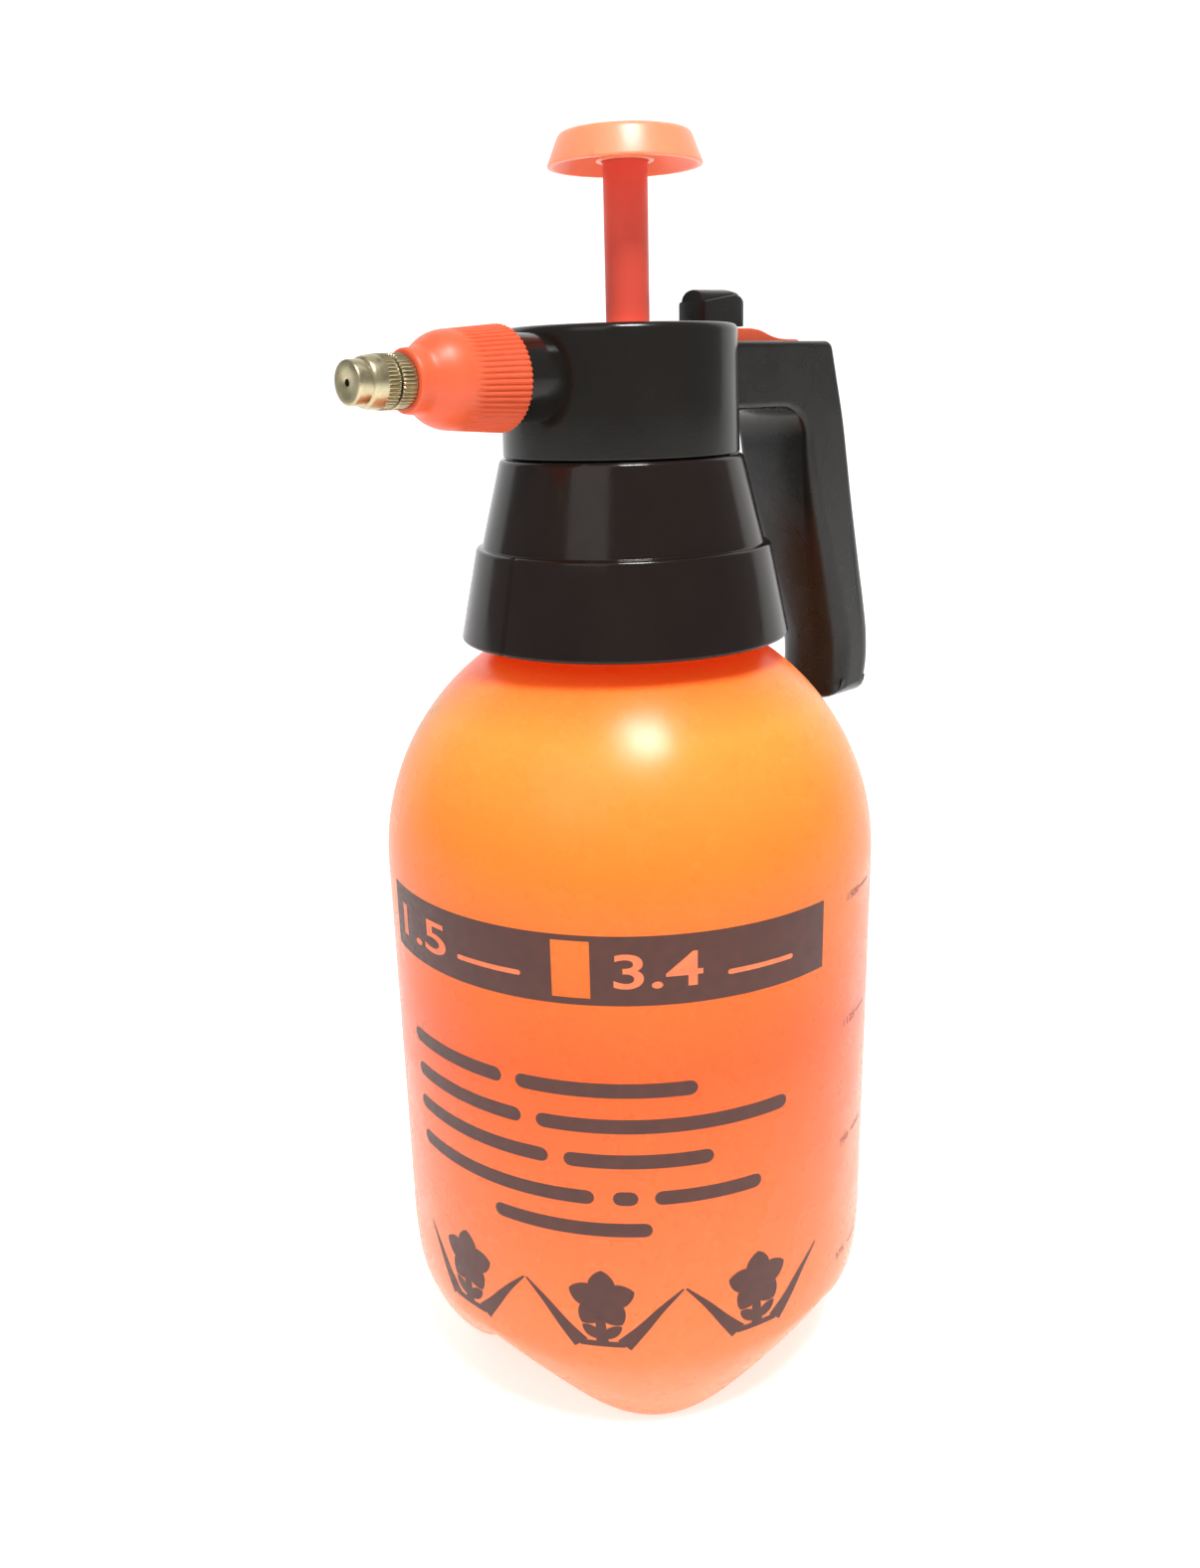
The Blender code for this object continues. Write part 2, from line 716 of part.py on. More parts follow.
def swirl_core(look):
    """A disc with two crossed grooves in its front face."""
    obj = turned("swirl_core", disc_outline(3.2, 70.5, 72.0), look, steps=20)
    long_groove = block("long_groove", (-6.0, -0.4, 71.2), (6.0, 0.4, 74.0))
    cross_groove = block("cross_groove", (-0.4, -6.0, 71.2), (0.4, 6.0, 74.0))
    for groove in (long_groove, cross_groove):
        cut(obj, point_forward(groove, NOZZLE_HEIGHT))
    return point_forward(obj, NOZZLE_HEIGHT)


def nozzle_tip(look):
    """The brass tip that is turned to set the spray."""
    outline = [
        (3.85, 65.7),
        (5.4, 65.7),
        (5.4, 67.0),
        (5.1, 67.3),
        (5.4, 67.6),
        (5.4, 68.6),
        (5.05, 70.9),
        (4.5, 71.7),
        (4.4, 74.6),
        (4.1, 75.0),
        (0.75, 75.0),
        (0.75, 73.6),
        (3.5, 72.8),
        (3.85, 72.3),
    ]
    return point_forward(turned("nozzle_tip", outline, look, steps=28), NOZZLE_HEIGHT)


# ---------------------------------------------------------------- lever and lock


def thumb_lever(look):
    outline = [
        (17.4, 254.2),
        (17.4, 256.4),
        (24.4, 257.2),
        (24.4, 261.6),
        (25.0, 262.2),
        (42.6, 262.2),
        (48.5, 260.9),
        (54.6, 259.7),
        (60.8, 259.6),
        (61.4, 258.8),
        (60.6, 255.0),
        (57.0, 253.6),
        (53.0, 255.2),
        (30.0, 255.2),
    ]
    obj = side_profile("thumb_lever", outline, LEVER_HALF_WIDTH, look)
    pivot_y, pivot_z = LEVER_PIVOT
    hole = turned("lever_bore", disc_outline(LEVER_PIN_RADIUS + 0.1, -20.0, 20.0), steps=16)
    hole.rotation_euler = (0.0, math.radians(90.0), 0.0)
    place(hole, pivot_y, pivot_z)
    pocket = block("lever_pocket", (-3.9, 27.0, 250.0), (3.9, 42.0, 260.4))
    slot = block("lock_slot", (-1.6, 27.8, 255.0), (1.6, 41.2, 265.0))
    cut(obj, hole, pocket, slot)
    move_origin(obj, pivot_y, pivot_z)
    return obj


def move_origin(obj, y, z):
    """Puts the object's origin on its joint's axis and leaves its shape in place."""
    shift = Vector((0.0, y * MM, z * MM))
    obj.data.transform(Matrix.Translation(-shift))
    obj.location = shift


def lever_pin(look):
    outline = [(0.0, -11.4), (LEVER_PIN_RADIUS, -11.4), (LEVER_PIN_RADIUS, 7.6), (0.0, 7.6)]
    obj = turned("lever_pin", outline, look, steps=16)
    obj.rotation_euler = (0.0, math.radians(90.0), 0.0)
    return place(obj, *LEVER_PIVOT)


def lock_slider(look):
    """A thumb slide with an arched roof; its foot runs in the lever's slot."""
    base, half_width = 262.5, 4.4
    rings = []
    slices = ((25.2, 268.4, 271.0, 3.4), (37.5, 269.8, 271.2, 3.6), (39.6, 268.6, 269.8, 3.4))
    for reach, eaves, crown, arch in slices:
        roof = []
        for i in range(7):
            turn = math.radians(30.0 * i)
            roof.append((arch * math.cos(turn), eaves + (crown - eaves) * math.sin(turn)))
        section = [(half_width, base), (half_width, eaves - 0.6), (half_width - 0.4, eaves)] + roof
        section += [(0.4 - half_width, eaves), (-half_width, eaves - 0.6), (-half_width, base)]
        rings.append([(x, reach, z) for x, z in section])
    obj = skinned("lock_slider", rings, look)
    stem = block("slider_stem", (-1.3, 30.0, 259.0), (1.3, 36.0, 264.0))
    foot = block("slider_foot", (-3.4, 29.4, 258.4), (3.4, 36.6, 260.1))
    join(obj, stem, foot)
    return obj


# ---------------------------------------------------------------- assembly


clear_scene()
ASSEMBLY = bpy.data.objects.new("assembly", None)
ASSEMBLY.location = (0.0, AXIS_Y * MM, 0.0)
bpy.context.scene.collection.objects.link(ASSEMBLY)

orange_bottle = material("orange bottle", (0.95, 0.30, 0.08), 0.35)
orange_plastic = material("orange plastic", (0.90, 0.17, 0.06), 0.40)
peach_plastic = material("peach plastic", (0.94, 0.26, 0.12), 0.35)
black_gloss = material("black gloss plastic", (0.02, 0.02, 0.02), 0.20)
black_satin = material("black satin plastic", (0.025, 0.027, 0.027), 0.35)
natural_plastic = material("natural plastic", (0.80, 0.80, 0.76), 0.45)
clear_plastic = material("tube plastic", (0.85, 0.86, 0.82), 0.30)
rubber = material("black rubber", (0.02, 0.02, 0.02), 0.80)
brass = material("brass", (0.66, 0.53, 0.25), 0.25, metallic=1.0)
steel = material("steel", (0.60, 0.60, 0.62), 0.25, metallic=1.0)

bottle(orange_bottle)
neck_gasket(rubber)
collar_nut(black_gloss)
head_body(black_gloss)

pump_cylinder(natural_plastic)
check_valve(rubber)
cylinder_cap(natural_plastic)
rod_bush(natural_plastic)
pump_rod(orange_plastic)
pump_knob(peach_plastic)
piston(natural_plastic)
piston_seal(rubber)

pickup_tube(clear_plastic)
strainer(natural_plastic)
valve_body(natural_plastic)
valve_cap(natural_plastic)
pin_seal(rubber)
valve_pin(steel)
valve_seal(rubber)
valve_spring(steel)
outlet_tube(clear_plastic)

nozzle_nut(orange_plastic)
spout_gasket(rubber)
nozzle_base(brass)
nozzle_o_ring(rubber)
swirl_core(natural_plastic)
nozzle_tip(brass)

thumb_lever(orange_plastic)
lever_pin(steel)
lock_slider(black_satin)
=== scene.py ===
"""Looks of the hand-pumped pressure sprayer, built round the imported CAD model.

Sizes are in millimetres and distances are measured from the bottle's axis, as in the CAD model. The nozzle
points to -Y and the handle is on the +Y side.
"""

import math

import bmesh
import bpy
from mathutils import Matrix, Vector


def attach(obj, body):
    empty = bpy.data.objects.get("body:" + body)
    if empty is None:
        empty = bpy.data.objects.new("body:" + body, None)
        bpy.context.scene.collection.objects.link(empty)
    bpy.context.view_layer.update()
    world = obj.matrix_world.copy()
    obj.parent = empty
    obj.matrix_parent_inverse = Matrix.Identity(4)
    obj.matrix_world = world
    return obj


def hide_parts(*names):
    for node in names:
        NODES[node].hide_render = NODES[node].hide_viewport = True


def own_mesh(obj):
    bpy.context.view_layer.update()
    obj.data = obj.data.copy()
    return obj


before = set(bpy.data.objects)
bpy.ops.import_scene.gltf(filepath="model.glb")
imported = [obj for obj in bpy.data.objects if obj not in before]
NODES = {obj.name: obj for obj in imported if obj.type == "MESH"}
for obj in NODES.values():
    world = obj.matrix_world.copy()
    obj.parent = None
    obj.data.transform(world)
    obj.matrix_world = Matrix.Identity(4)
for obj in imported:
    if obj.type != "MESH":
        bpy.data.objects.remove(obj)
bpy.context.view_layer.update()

MM = 0.001
AXIS_Y = -9.0

# Bottle
RADIUS = 60.94
DOME_START = 137.7
FOOT_COUNT = 4
FOOT_AZIMUTH = 51.0
FOOT_FULLNESS = 0.4
NECK_RADIUS = 26.6
NECK_TOP = 221.0

# Pump
PUMP_Y = 3.0
ROD_RADIUS = 5.0

# Nozzle
NOZZLE_HEIGHT = 251.8
CAP_RIBS = 56
RIB_DEPTH = 0.42
KNURL_TEETH = 40
KNURL_DEPTH = 0.55

# Camera, in the frame of the bottle's axis
VIEW_AZIMUTH = 44.0
CAMERA_SIDE = 2.6
CAMERA_DISTANCE = 315.2
CAMERA_HEIGHT = 251.8
CAMERA_YAW = -1.75
CAMERA_PITCH = 17.35
CAMERA_ROLL = -1.52
LENS = 29.96


# ---------------------------------------------------------------- curves


def spline(points, steps):
    """Points on a Catmull-Rom curve through the given tuples."""
    knots = [Vector(point) for point in points]
    ends = [2 * knots[0] - knots[1]] + knots + [2 * knots[-1] - knots[-2]]
    path = []
    for a, b, c, d in zip(ends, ends[1:], ends[2:], ends[3:]):
        for i in range(steps):
            t = i / steps
            linear = 2 * b + (c - a) * t
            curved = (2 * a - 5 * b + 4 * c - d) * t * t + (3 * b - a - 3 * c + d) * t**3
            path.append(tuple(0.5 * (linear + curved)))
    path.append(tuple(knots[-1]))
    return path


def filleted(corners, closed=True, steps=5):
    """Turns (u, v, radius) corners into points, with an arc of that radius at each corner."""
    count = len(corners)
    points = []
    for i, (u, v, radius) in enumerate(corners):
        here = Vector((u, v))
        if not radius or (not closed and i in (0, count - 1)):
            points.append((u, v))
            continue
        before = Vector(corners[i - 1][:2]) - here
        after = Vector(corners[(i + 1) % count][:2]) - here
        half = before.angle(after) / 2
        reach = min(radius / math.tan(half), 0.48 * before.length, 0.48 * after.length)
        start = here + before.normalized() * reach
        end = here + after.normalized() * reach
        for k in range(steps + 1):
            t = k / steps
            points.append(tuple((1 - t) ** 2 * start + 2 * t * (1 - t) * here + t * t * end))
    return points


def between(value, table):
    """The value's place in a table of (key, result) rows with falling keys, read by straight lines."""
    if value >= table[0][0]:
        return table[0][1]
    for (high, first), (low, second) in zip(table, table[1:]):
        if value >= low:
            return second + (first - second) * (value - low) / (high - low)
    return table[-1][1]


# ---------------------------------------------------------------- mesh making


def add_piece(name, made, look, body, stands_for=(), sharp=40.0):
    """Makes an object from a bmesh in millimetres round the bottle's axis, and ties it to its CAD body."""
    bmesh.ops.translate(made, vec=(0.0, AXIS_Y, 0.0), verts=made.verts)
    bmesh.ops.scale(made, vec=(MM, MM, MM), verts=made.verts)
    bmesh.ops.recalc_face_normals(made, faces=made.faces)
    mesh = bpy.data.meshes.new(name)
    made.to_mesh(mesh)
    made.free()
    mesh.shade_smooth()
    mesh.set_sharp_from_angle(angle=math.radians(sharp))
    obj = bpy.data.objects.new(name, mesh)
    bpy.context.scene.collection.objects.link(obj)
    if look:
        mesh.materials.append(look)
    if body:
        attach(obj, body)
    if stands_for:
        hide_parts(*stands_for)
    return obj


def revolve(outline, steps=128, centre=(0.0, 0.0), forward=False, ripple=None):
    """A bmesh turned from (radius, height) points, about Z or, with forward, about the nozzle's axis."""
    made = bmesh.new()
    rings = []
    for radius, height in outline:
        ring = []
        for i in range(1 if radius < 1e-6 else steps):
            turn = math.tau * i / steps
            reach = radius + (ripple(radius, height, turn) if ripple else 0.0)
            u, v = reach * math.cos(turn), reach * math.sin(turn)
            if forward:
                point = (u, -height, NOZZLE_HEIGHT + v)
            else:
                point = (centre[0] + u, centre[1] + v, height)
            ring.append(made.verts.new(point))
        rings.append(ring)
    pairs = list(zip(rings, rings[1:]))
    if len(rings[0]) > 1:
        pairs.append((rings[-1], rings[0]))
    for first, second in pairs:
        for i in range(steps):
            j = (i + 1) % steps
            corners = []
            one_edge = (first[i % len(first)], first[j % len(first)])
            other_edge = (second[j % len(second)], second[i % len(second)])
            for vert in one_edge + other_edge:
                if vert not in corners:
                    corners.append(vert)
            if len(corners) > 2:
                made.faces.new(corners)
    return made


def loft(rings):
    """A closed skin over rings of points with capped ends."""
    made = bmesh.new()
    loops = [[made.verts.new(point) for point in ring] for ring in rings]
    for first, second in zip(loops, loops[1:]):
        for i in range(len(first)):
            j = (i + 1) % len(first)
            made.faces.new((first[i], first[j], second[j], second[i]))
    for loop in (loops[0], loops[-1]):
        made.faces.new(loop)
    return made


def cutter(low, high):
    """A box for cutting or joining, in millimetres."""
    made = bmesh.new()
    bmesh.ops.create_cube(made, size=1.0)
    bmesh.ops.scale(made, vec=[b - a for a, b in zip(low, high)], verts=made.verts)
    bmesh.ops.translate(made, vec=[(a + b) / 2 for a, b in zip(low, high)], verts=made.verts)
    return made


def cross_pin(radius, low, high, y, z):
    """A cylinder along X for cutting."""
    made = bmesh.new()
    turned = Matrix.Translation((0.0, y, z)) @ Matrix.Rotation(math.radians(90.0), 4, "Y")
    bmesh.ops.create_cone(made, cap_ends=True, segments=48, radius1=radius, radius2=radius, depth=high - low)
    bmesh.ops.transform(made, matrix=turned @ Matrix.Translation((0, 0, (low + high) / 2)), verts=made.verts)
    return made


def carve(obj, tools, operation="DIFFERENCE"):
    """Cuts or joins the tools' shapes into the object's mesh and leaves no modifier behind."""
    helpers = []
    for i, tool in enumerate(tools):
        helper = add_piece(f"{obj.name}_tool_{i}", tool, None, None)
        step = obj.modifiers.new(helper.name, "BOOLEAN")
        step.operation = operation
        step.solver = "EXACT"
        step.object = helper
        helpers.append(helper)
    bpy.context.view_layer.update()
    graph = bpy.context.evaluated_depsgraph_get()
    carved = bpy.data.meshes.new_from_object(obj.evaluated_get(graph))
    obj.modifiers.clear()
    obj.data = carved
    carved.shade_smooth()
    carved.set_sharp_from_angle(angle=math.radians(35.0))
    for helper in helpers:
        bpy.data.objects.remove(helper, do_unlink=True)


def soften(obj, width, segments=3, angle=35.0):
    """Rounds the sharp edges of a piece."""
    rounding = obj.modifiers.new("rounding", "BEVEL")
    rounding.width = width * MM
    rounding.segments = segments
    rounding.angle_limit = math.radians(angle)
    rounding.harden_normals = True


# ---------------------------------------------------------------- materials


class Look:
    """A material with its shader, and short ways to add the nodes that every finish here uses."""

    def __init__(self, name, **values):
        self.material = bpy.data.materials.new(name)
        self.material.use_nodes = True
        self.tree = self.material.node_tree
        self.shader = self.tree.nodes["Principled BSDF"]
        self.place = self.tree.nodes.new("ShaderNodeTexCoord").outputs["Object"]
        self.normal = None
        for key, value in values.items():
            self.shader.inputs[key.replace("_", " ")].default_value = value

    def link(self, source, target):
        self.tree.links.new(source, target)

    def noise(self, size_mm, detail=4.0, roughness=0.55, stretch=(1.0, 1.0, 1.0)):
        """Noise whose features are about this size."""
        mapping = self.tree.nodes.new("ShaderNodeMapping")
        mapping.inputs["Scale"].default_value = [1.0 / (size_mm * MM) * part for part in stretch]
        self.link(self.place, mapping.inputs["Vector"])
        texture = self.tree.nodes.new("ShaderNodeTexNoise")
        texture.inputs["Scale"].default_value = 1.0
        texture.inputs["Detail"].default_value = detail
        texture.inputs["Roughness"].default_value = roughness
        self.link(mapping.outputs["Vector"], texture.inputs["Vector"])
        return texture.outputs["Fac"]

    def ramp(self, source, stops):
        """A colour ramp with (place, colour) stops."""
        node = self.tree.nodes.new("ShaderNodeValToRGB")
        elements = node.color_ramp.elements
        while len(elements) < len(stops):
            elements.new(0.5)
        for element, (place, colour) in zip(elements, stops):
            element.position = place
            element.color = (*colour, 1.0)
        self.link(source, node.inputs["Fac"])
        return node.outputs["Color"]

    def spread(self, source, low, high, start=0.3, end=0.7):
        """The source's range from start to end, stretched to run from low to high."""
        node = self.tree.nodes.new("ShaderNodeMapRange")
        for name, value in zip(("From Min", "From Max", "To Min", "To Max"), (start, end, low, high)):
            node.inputs[name].default_value = value
        self.link(source, node.inputs["Value"])
        return node.outputs["Result"]

    def blend(self, factor, first, second, mode="MIX"):
        node = self.tree.nodes.new("ShaderNodeMix")
        node.data_type = "RGBA"
        node.blend_type = mode
        for socket, value in ((node.inputs[0], factor), (node.inputs[6], first), (node.inputs[7], second)):
            if hasattr(value, "is_linked"):
                self.link(value, socket)
            elif isinstance(value, tuple):
                socket.default_value = (*value, 1.0)
            else:
                socket.default_value = value
        return node.outputs[2]

    def bump(self, height, depth_mm, strength=1.0):
        node = self.tree.nodes.new("ShaderNodeBump")
        node.inputs["Distance"].default_value = depth_mm * MM
        node.inputs["Strength"].default_value = strength
        self.link(height, node.inputs["Height"])
        if self.normal:
            self.link(self.normal, node.inputs["Normal"])
        self.normal = node.outputs["Normal"]
        self.link(self.normal, self.shader.inputs["Normal"])

    def colour(self, source):
        self.link(source, self.shader.inputs["Base Color"])

    def roughness(self, source):
        self.link(source, self.shader.inputs["Roughness"])


def varied(colour, amount):
    """A darker and a lighter neighbour of a colour."""
    darker = tuple(max(part * (1 - amount), 0.0) for part in colour)
    lighter = tuple(min(part * (1 + amount), 1.0) for part in colour)
    return darker, lighter


def moulded(name, colour, rough, mottle=0.06, grain_mm=0.6, grain_depth=0.012, **values):
    """Injection-moulded plastic: faint flow marks, a fine skin and uneven gloss."""
    look = Look(name, **values)
    darker, lighter = varied(colour, mottle)
    flow = look.noise(14.0, detail=3.0, stretch=(1.0, 1.0, 0.35))
    look.colour(look.ramp(flow, [(0.3, darker), (0.7, lighter)]))
    look.roughness(look.spread(look.noise(9.0, detail=6.0), rough - 0.05, rough + 0.07))
    look.bump(look.noise(24.0, detail=0.0), 0.05, 0.5)
    look.bump(look.noise(grain_mm, detail=3.0), grain_depth)
    return look


def bottle_look():
    """Blow-moulded orange bottle, paler towards the feet; the yellower dome is partly painted light from
    above, and the redder band just below the collar is painted shade, with a painted glow there.
    """
    look = Look("orange_bottle", Subsurface_Weight=0.4, Subsurface_Scale=0.008, Specular_IOR_Level=0.28)
    look.shader.inputs["Subsurface Radius"].default_value = (1.0, 0.35, 0.12)
    split = look.tree.nodes.new("ShaderNodeSeparateXYZ")
    look.link(look.place, split.inputs["Vector"])
    height = look.spread(split.outputs["Z"], 0.0, 1.0, start=0.0, end=0.2)
    height_tint_and_painted_light = look.ramp(height, [
        # The yellower stop at 0.88 is partly painted light on the dome, and the redder stop at 0.97 is
        # painted shade just below the collar.
        (0.00, (0.93, 0.235, 0.085)),
        (0.22, (0.93, 0.180, 0.046)),
        (0.52, (0.93, 0.105, 0.008)),
        (0.70, (0.94, 0.165, 0.014)),
        (0.88, (0.95, 0.300, 0.045)),
        (0.97, (0.95, 0.100, 0.018)),
    ])
    # Painted light: a red emission band just below the collar stands in for light coming through the thin
    # wall into the collar's shade.
    dark, lit = (0.0, 0.0, 0.0), (0.52, 0.014, 0.001)
    painted_glow_under_collar = look.ramp(height, [(0.885, dark), (0.945, lit), (0.965, lit), (0.99, dark)])
    look.link(painted_glow_under_collar, look.shader.inputs["Emission Color"])
    look.shader.inputs["Emission Strength"].default_value = 1.0
    haze = look.noise(30.0, detail=4.0, stretch=(1.0, 1.0, 0.6))
    cloud = look.ramp(haze, [(0.3, (0.95, 0.94, 0.94)), (0.7, (1.0, 1.0, 1.0))])
    look.colour(look.blend(1.0, height_tint_and_painted_light, cloud, "MULTIPLY"))
    look.roughness(look.spread(look.noise(12.0, detail=6.0), 0.24, 0.32))
    look.bump(look.noise(30.0, detail=1.0, stretch=(1.0, 1.0, 0.45)), 0.14, 0.4)
    look.bump(look.noise(0.8, detail=3.0), 0.012)
    return look


def ink_look(name, colour):
    """Screen-printed ink, a little thin in places."""
    look = Look(name, Specular_IOR_Level=0.4)
    darker, lighter = varied(colour, 0.18)
    look.colour(look.ramp(look.noise(3.0, detail=6.0), [(0.3, darker), (0.75, lighter)]))
    look.roughness(look.spread(look.noise(1.5), 0.38, 0.55))
    look.bump(look.noise(0.25, detail=2.0), 0.006)
    return look


def metal(name, colour, rough, turned_mm):
    """Turned metal with fine tool marks and a dull film in places."""
    look = Look(name, Metallic=1.0)
    darker, lighter = varied(colour, 0.16)
    look.colour(look.ramp(look.noise(2.6, detail=6.0), [(0.3, darker), (0.7, lighter)]))
    look.roughness(look.spread(look.noise(1.8, detail=5.0), rough - 0.06, rough + 0.12))
    look.bump(look.noise(turned_mm, detail=2.0, stretch=(0.15, 1.0, 0.15)), 0.010)
    return look


BOTTLE = bottle_look()
INK = ink_look("brown_ink", (0.070, 0.017, 0.010))
KNOCKOUT = ink_look("pale_numerals", (0.78, 0.17, 0.06))
BLACK = moulded(
    "black_gloss_plastic", (0.0085, 0.0072, 0.0060), 0.17, mottle=0.15, Specular_IOR_Level=0.30
)
# Painted reflection: the collar's reddish-brown tint stands in for the orange bottle mirrored in its black
# gloss.
COLLAR_WITH_PAINTED_REFLECTION = moulded(
    "brown_black_plastic", (0.0105, 0.0062, 0.0050), 0.14, mottle=0.15, Specular_IOR_Level=0.28
)
DARK = moulded(
    "black_satin_plastic", (0.0115, 0.0105, 0.0095), 0.27, mottle=0.12, Specular_IOR_Level=0.30
)
ORANGE = moulded(
    "orange_plastic",
    (0.66, 0.100, 0.036),
    0.40,
    Specular_IOR_Level=0.35,
    Subsurface_Weight=0.25,
    Subsurface_Scale=0.002,
)
STEM = moulded(
    "red_orange_stem",
    (0.74, 0.085, 0.052),
    0.42,
    Specular_IOR_Level=0.3,
    Subsurface_Weight=0.35,
    Subsurface_Scale=0.003,
)
PEACH = moulded(
    "peach_knob", (0.92, 0.235, 0.115), 0.32, Subsurface_Weight=0.6, Subsurface_Scale=0.006
)
NATURAL = moulded(
    "natural_plastic", (0.78, 0.77, 0.71), 0.38, Subsurface_Weight=0.3, Subsurface_Scale=0.002
)
TUBE = moulded("milky_tube", (0.80, 0.81, 0.77), 0.25, Transmission_Weight=0.45)
RUBBER = moulded("black_rubber", (0.024, 0.024, 0.025), 0.62, grain_mm=0.35, grain_depth=0.03)
BRASS = metal("turned_brass", (0.47, 0.41, 0.255), 0.30, 0.5)
STEEL = metal("bright_steel", (0.60, 0.60, 0.62), 0.22, 0.4)


# ---------------------------------------------------------------- bottle


def foot_profile():
    """(radius, height) down the wall, over the bottom of a foot, to the middle of the base."""
    wall = [(61.0, 62.0), (61.0, 46.0), (61.0, 37.0), (60.3, 27.5), (58.5, 21.2), (55.6, 14.0), (52.2, 7.3)]
    inside = [(48.8, 1.9), (45.6, -0.4), (38.5, -0.5), (30.0, 3.8), (20.0, 9.8), (9.0, 12.0), (0.0, 12.4)]
    return spline(wall + inside, 5)


def valley_profile():
    """The same points between two feet."""
    wall = [(61.0, 62.0), (61.0, 46.0), (61.0, 37.0), (60.6, 29.6), (59.4, 26.2), (57.0, 23.8), (53.4, 21.6)]
    inside = [(49.2, 20.0), (45.4, 19.0), (37.5, 17.6), (29.0, 16.0), (19.5, 14.0), (9.0, 12.8), (0.0, 12.4)]
    return spline(wall + inside, 5)


def foot_share(turn):
    """1 in the middle of a foot and 0 in the middle of a valley."""
    lobe = 0.5 + 0.5 * math.cos(FOOT_COUNT * (turn - math.radians(FOOT_AZIMUTH)))
    softness = 0.003
    floor = (softness / (1 + softness)) ** FOOT_FULLNESS
    return (((lobe + softness) / (1 + softness)) ** FOOT_FULLNESS - floor) / (1 - floor)


def base_points(turn):
    """(radius, height) points of the base in the direction of this turn."""
    share = foot_share(turn)
    points = []
    for foot, valley in zip(foot_profile(), valley_profile()):
        radius = valley[0] + (foot[0] - valley[0]) * share
        height = valley[1] + (foot[1] - valley[1]) * share
        points.append((radius * RADIUS / 61.0, max(height, 0.0)))
    return points


def thread(height, turn):
    """How far the neck's thread stands out at this height and turn."""
    pitch = 5.0
    fade = min(max((height - 201.0) / 2.0, 0.0), 1.0) * min(max((217.5 - height) / 2.0, 0.0), 1.0)
    wave = 0.5 + 0.5 * math.cos(math.tau * (height / pitch - turn / math.tau))
    return 1.5 * fade * wave**2.5


def bottle():
    steps = 240
    turns = [math.tau * i / steps for i in range(steps)]
    upper = [(NECK_RADIUS - 0.3, NECK_TOP), (NECK_RADIUS, NECK_TOP - 0.3)]
    upper += [(NECK_RADIUS, NECK_TOP - 1.0 - 0.5 * i) for i in range(42)]
    upper += spline([(NECK_RADIUS, 198.0), (26.9, 196.0), (28.4, 193.2)], 3)
    for i in range(46):
        tilt = math.radians(60.0 * (1 - i / 45))
        upper.append((RADIUS * math.cos(tilt), DOME_START + RADIUS * math.sin(tilt)))
    upper += [(RADIUS, height) for height in (125.0, 110.0, 95.0, 80.0, 70.0)]
    made = bmesh.new()
    rings = []
    for radius, height in upper:
        ring = []
        for turn in turns:
            reach = radius + (thread(height, turn) if height > 200.0 else 0.0)
            ring.append(made.verts.new((reach * math.cos(turn), reach * math.sin(turn), height)))
        rings.append(ring)
    columns = [base_points(turn) for turn in turns]
    for level in range(len(columns[0]) - 1):
        ring = []
        for turn, column in zip(turns, columns):
            radius, height = column[level]
            ring.append(made.verts.new((radius * math.cos(turn), radius * math.sin(turn), height)))
        rings.append(ring)
    middle = made.verts.new((0.0, 0.0, columns[0][-1][1]))
    for first, second in zip(rings, rings[1:]):
        for i in range(steps):
            j = (i + 1) % steps
            made.faces.new((first[j], first[i], second[i], second[j]))
    for i in range(steps):
        made.faces.new((rings[-1][(i + 1) % steps], rings[-1][i], middle))
    obj = add_piece("bottle_shell", made, BOTTLE.material, "bottle", ["bottle"], sharp=60.0)
    shell = obj.modifiers.new("wall", "SOLIDIFY")
    shell.thickness = 1.5 * MM
    shell.offset = -1.0
    shell.use_even_offset = True
    return obj


# ---------------------------------------------------------------- print on the bottle

# Places on the print are (turn from the middle of the front, height). The middle faces this way.
PRINT_MIDDLE = VIEW_AZIMUTH - 90.0


def wall_radius(column, height):
    """The bottle's outer radius at a height of the wall, from the base's points in one direction."""
    if height >= column[0][1]:
        return RADIUS
    for (r_high, high), (r_low, low) in zip(column, column[1:]):
        if high >= height >= low and high > low:
            return r_low + (r_high - r_low) * (height - low) / (high - low)
    return RADIUS


def printed(name, made, look, lift=0.03):
    """Lays a flat bmesh, drawn as (arc length, height), on the bottle's wall."""
    for axis in range(2):
        values = [vert.co[axis] for vert in made.verts]
        for i in range(math.ceil(min(values)), math.ceil(max(values))):
            cut_normal = [0.0, 0.0, 0.0]
            cut_normal[axis] = 1.0
            cut_place = [0.0, 0.0, 0.0]
            cut_place[axis] = float(i)
            geometry = made.verts[:] + made.edges[:] + made.faces[:]
            bmesh.ops.bisect_plane(made, geom=geometry, dist=1e-5, plane_co=cut_place, plane_no=cut_normal)
    columns = {}
    for vert in made.verts:
        turn = vert.co.x / RADIUS + math.radians(PRINT_MIDDLE)
        key = round(turn, 2)
        if vert.co.y < 62.0 and key not in columns:
            columns[key] = base_points(key)
        radius = RADIUS if vert.co.y >= 62.0 else wall_radius(columns[key], vert.co.y)
        radius += lift
        vert.co = (radius * math.cos(turn), radius * math.sin(turn), vert.co.y)
    obj = add_piece(name, made, look.material, "bottle")
    for polygon in obj.data.polygons:
        outwards = Vector((polygon.center.x, polygon.center.y - AXIS_Y * MM, 0.0))
        if polygon.normal.dot(outwards) < 0:
            polygon.flip()
    return obj


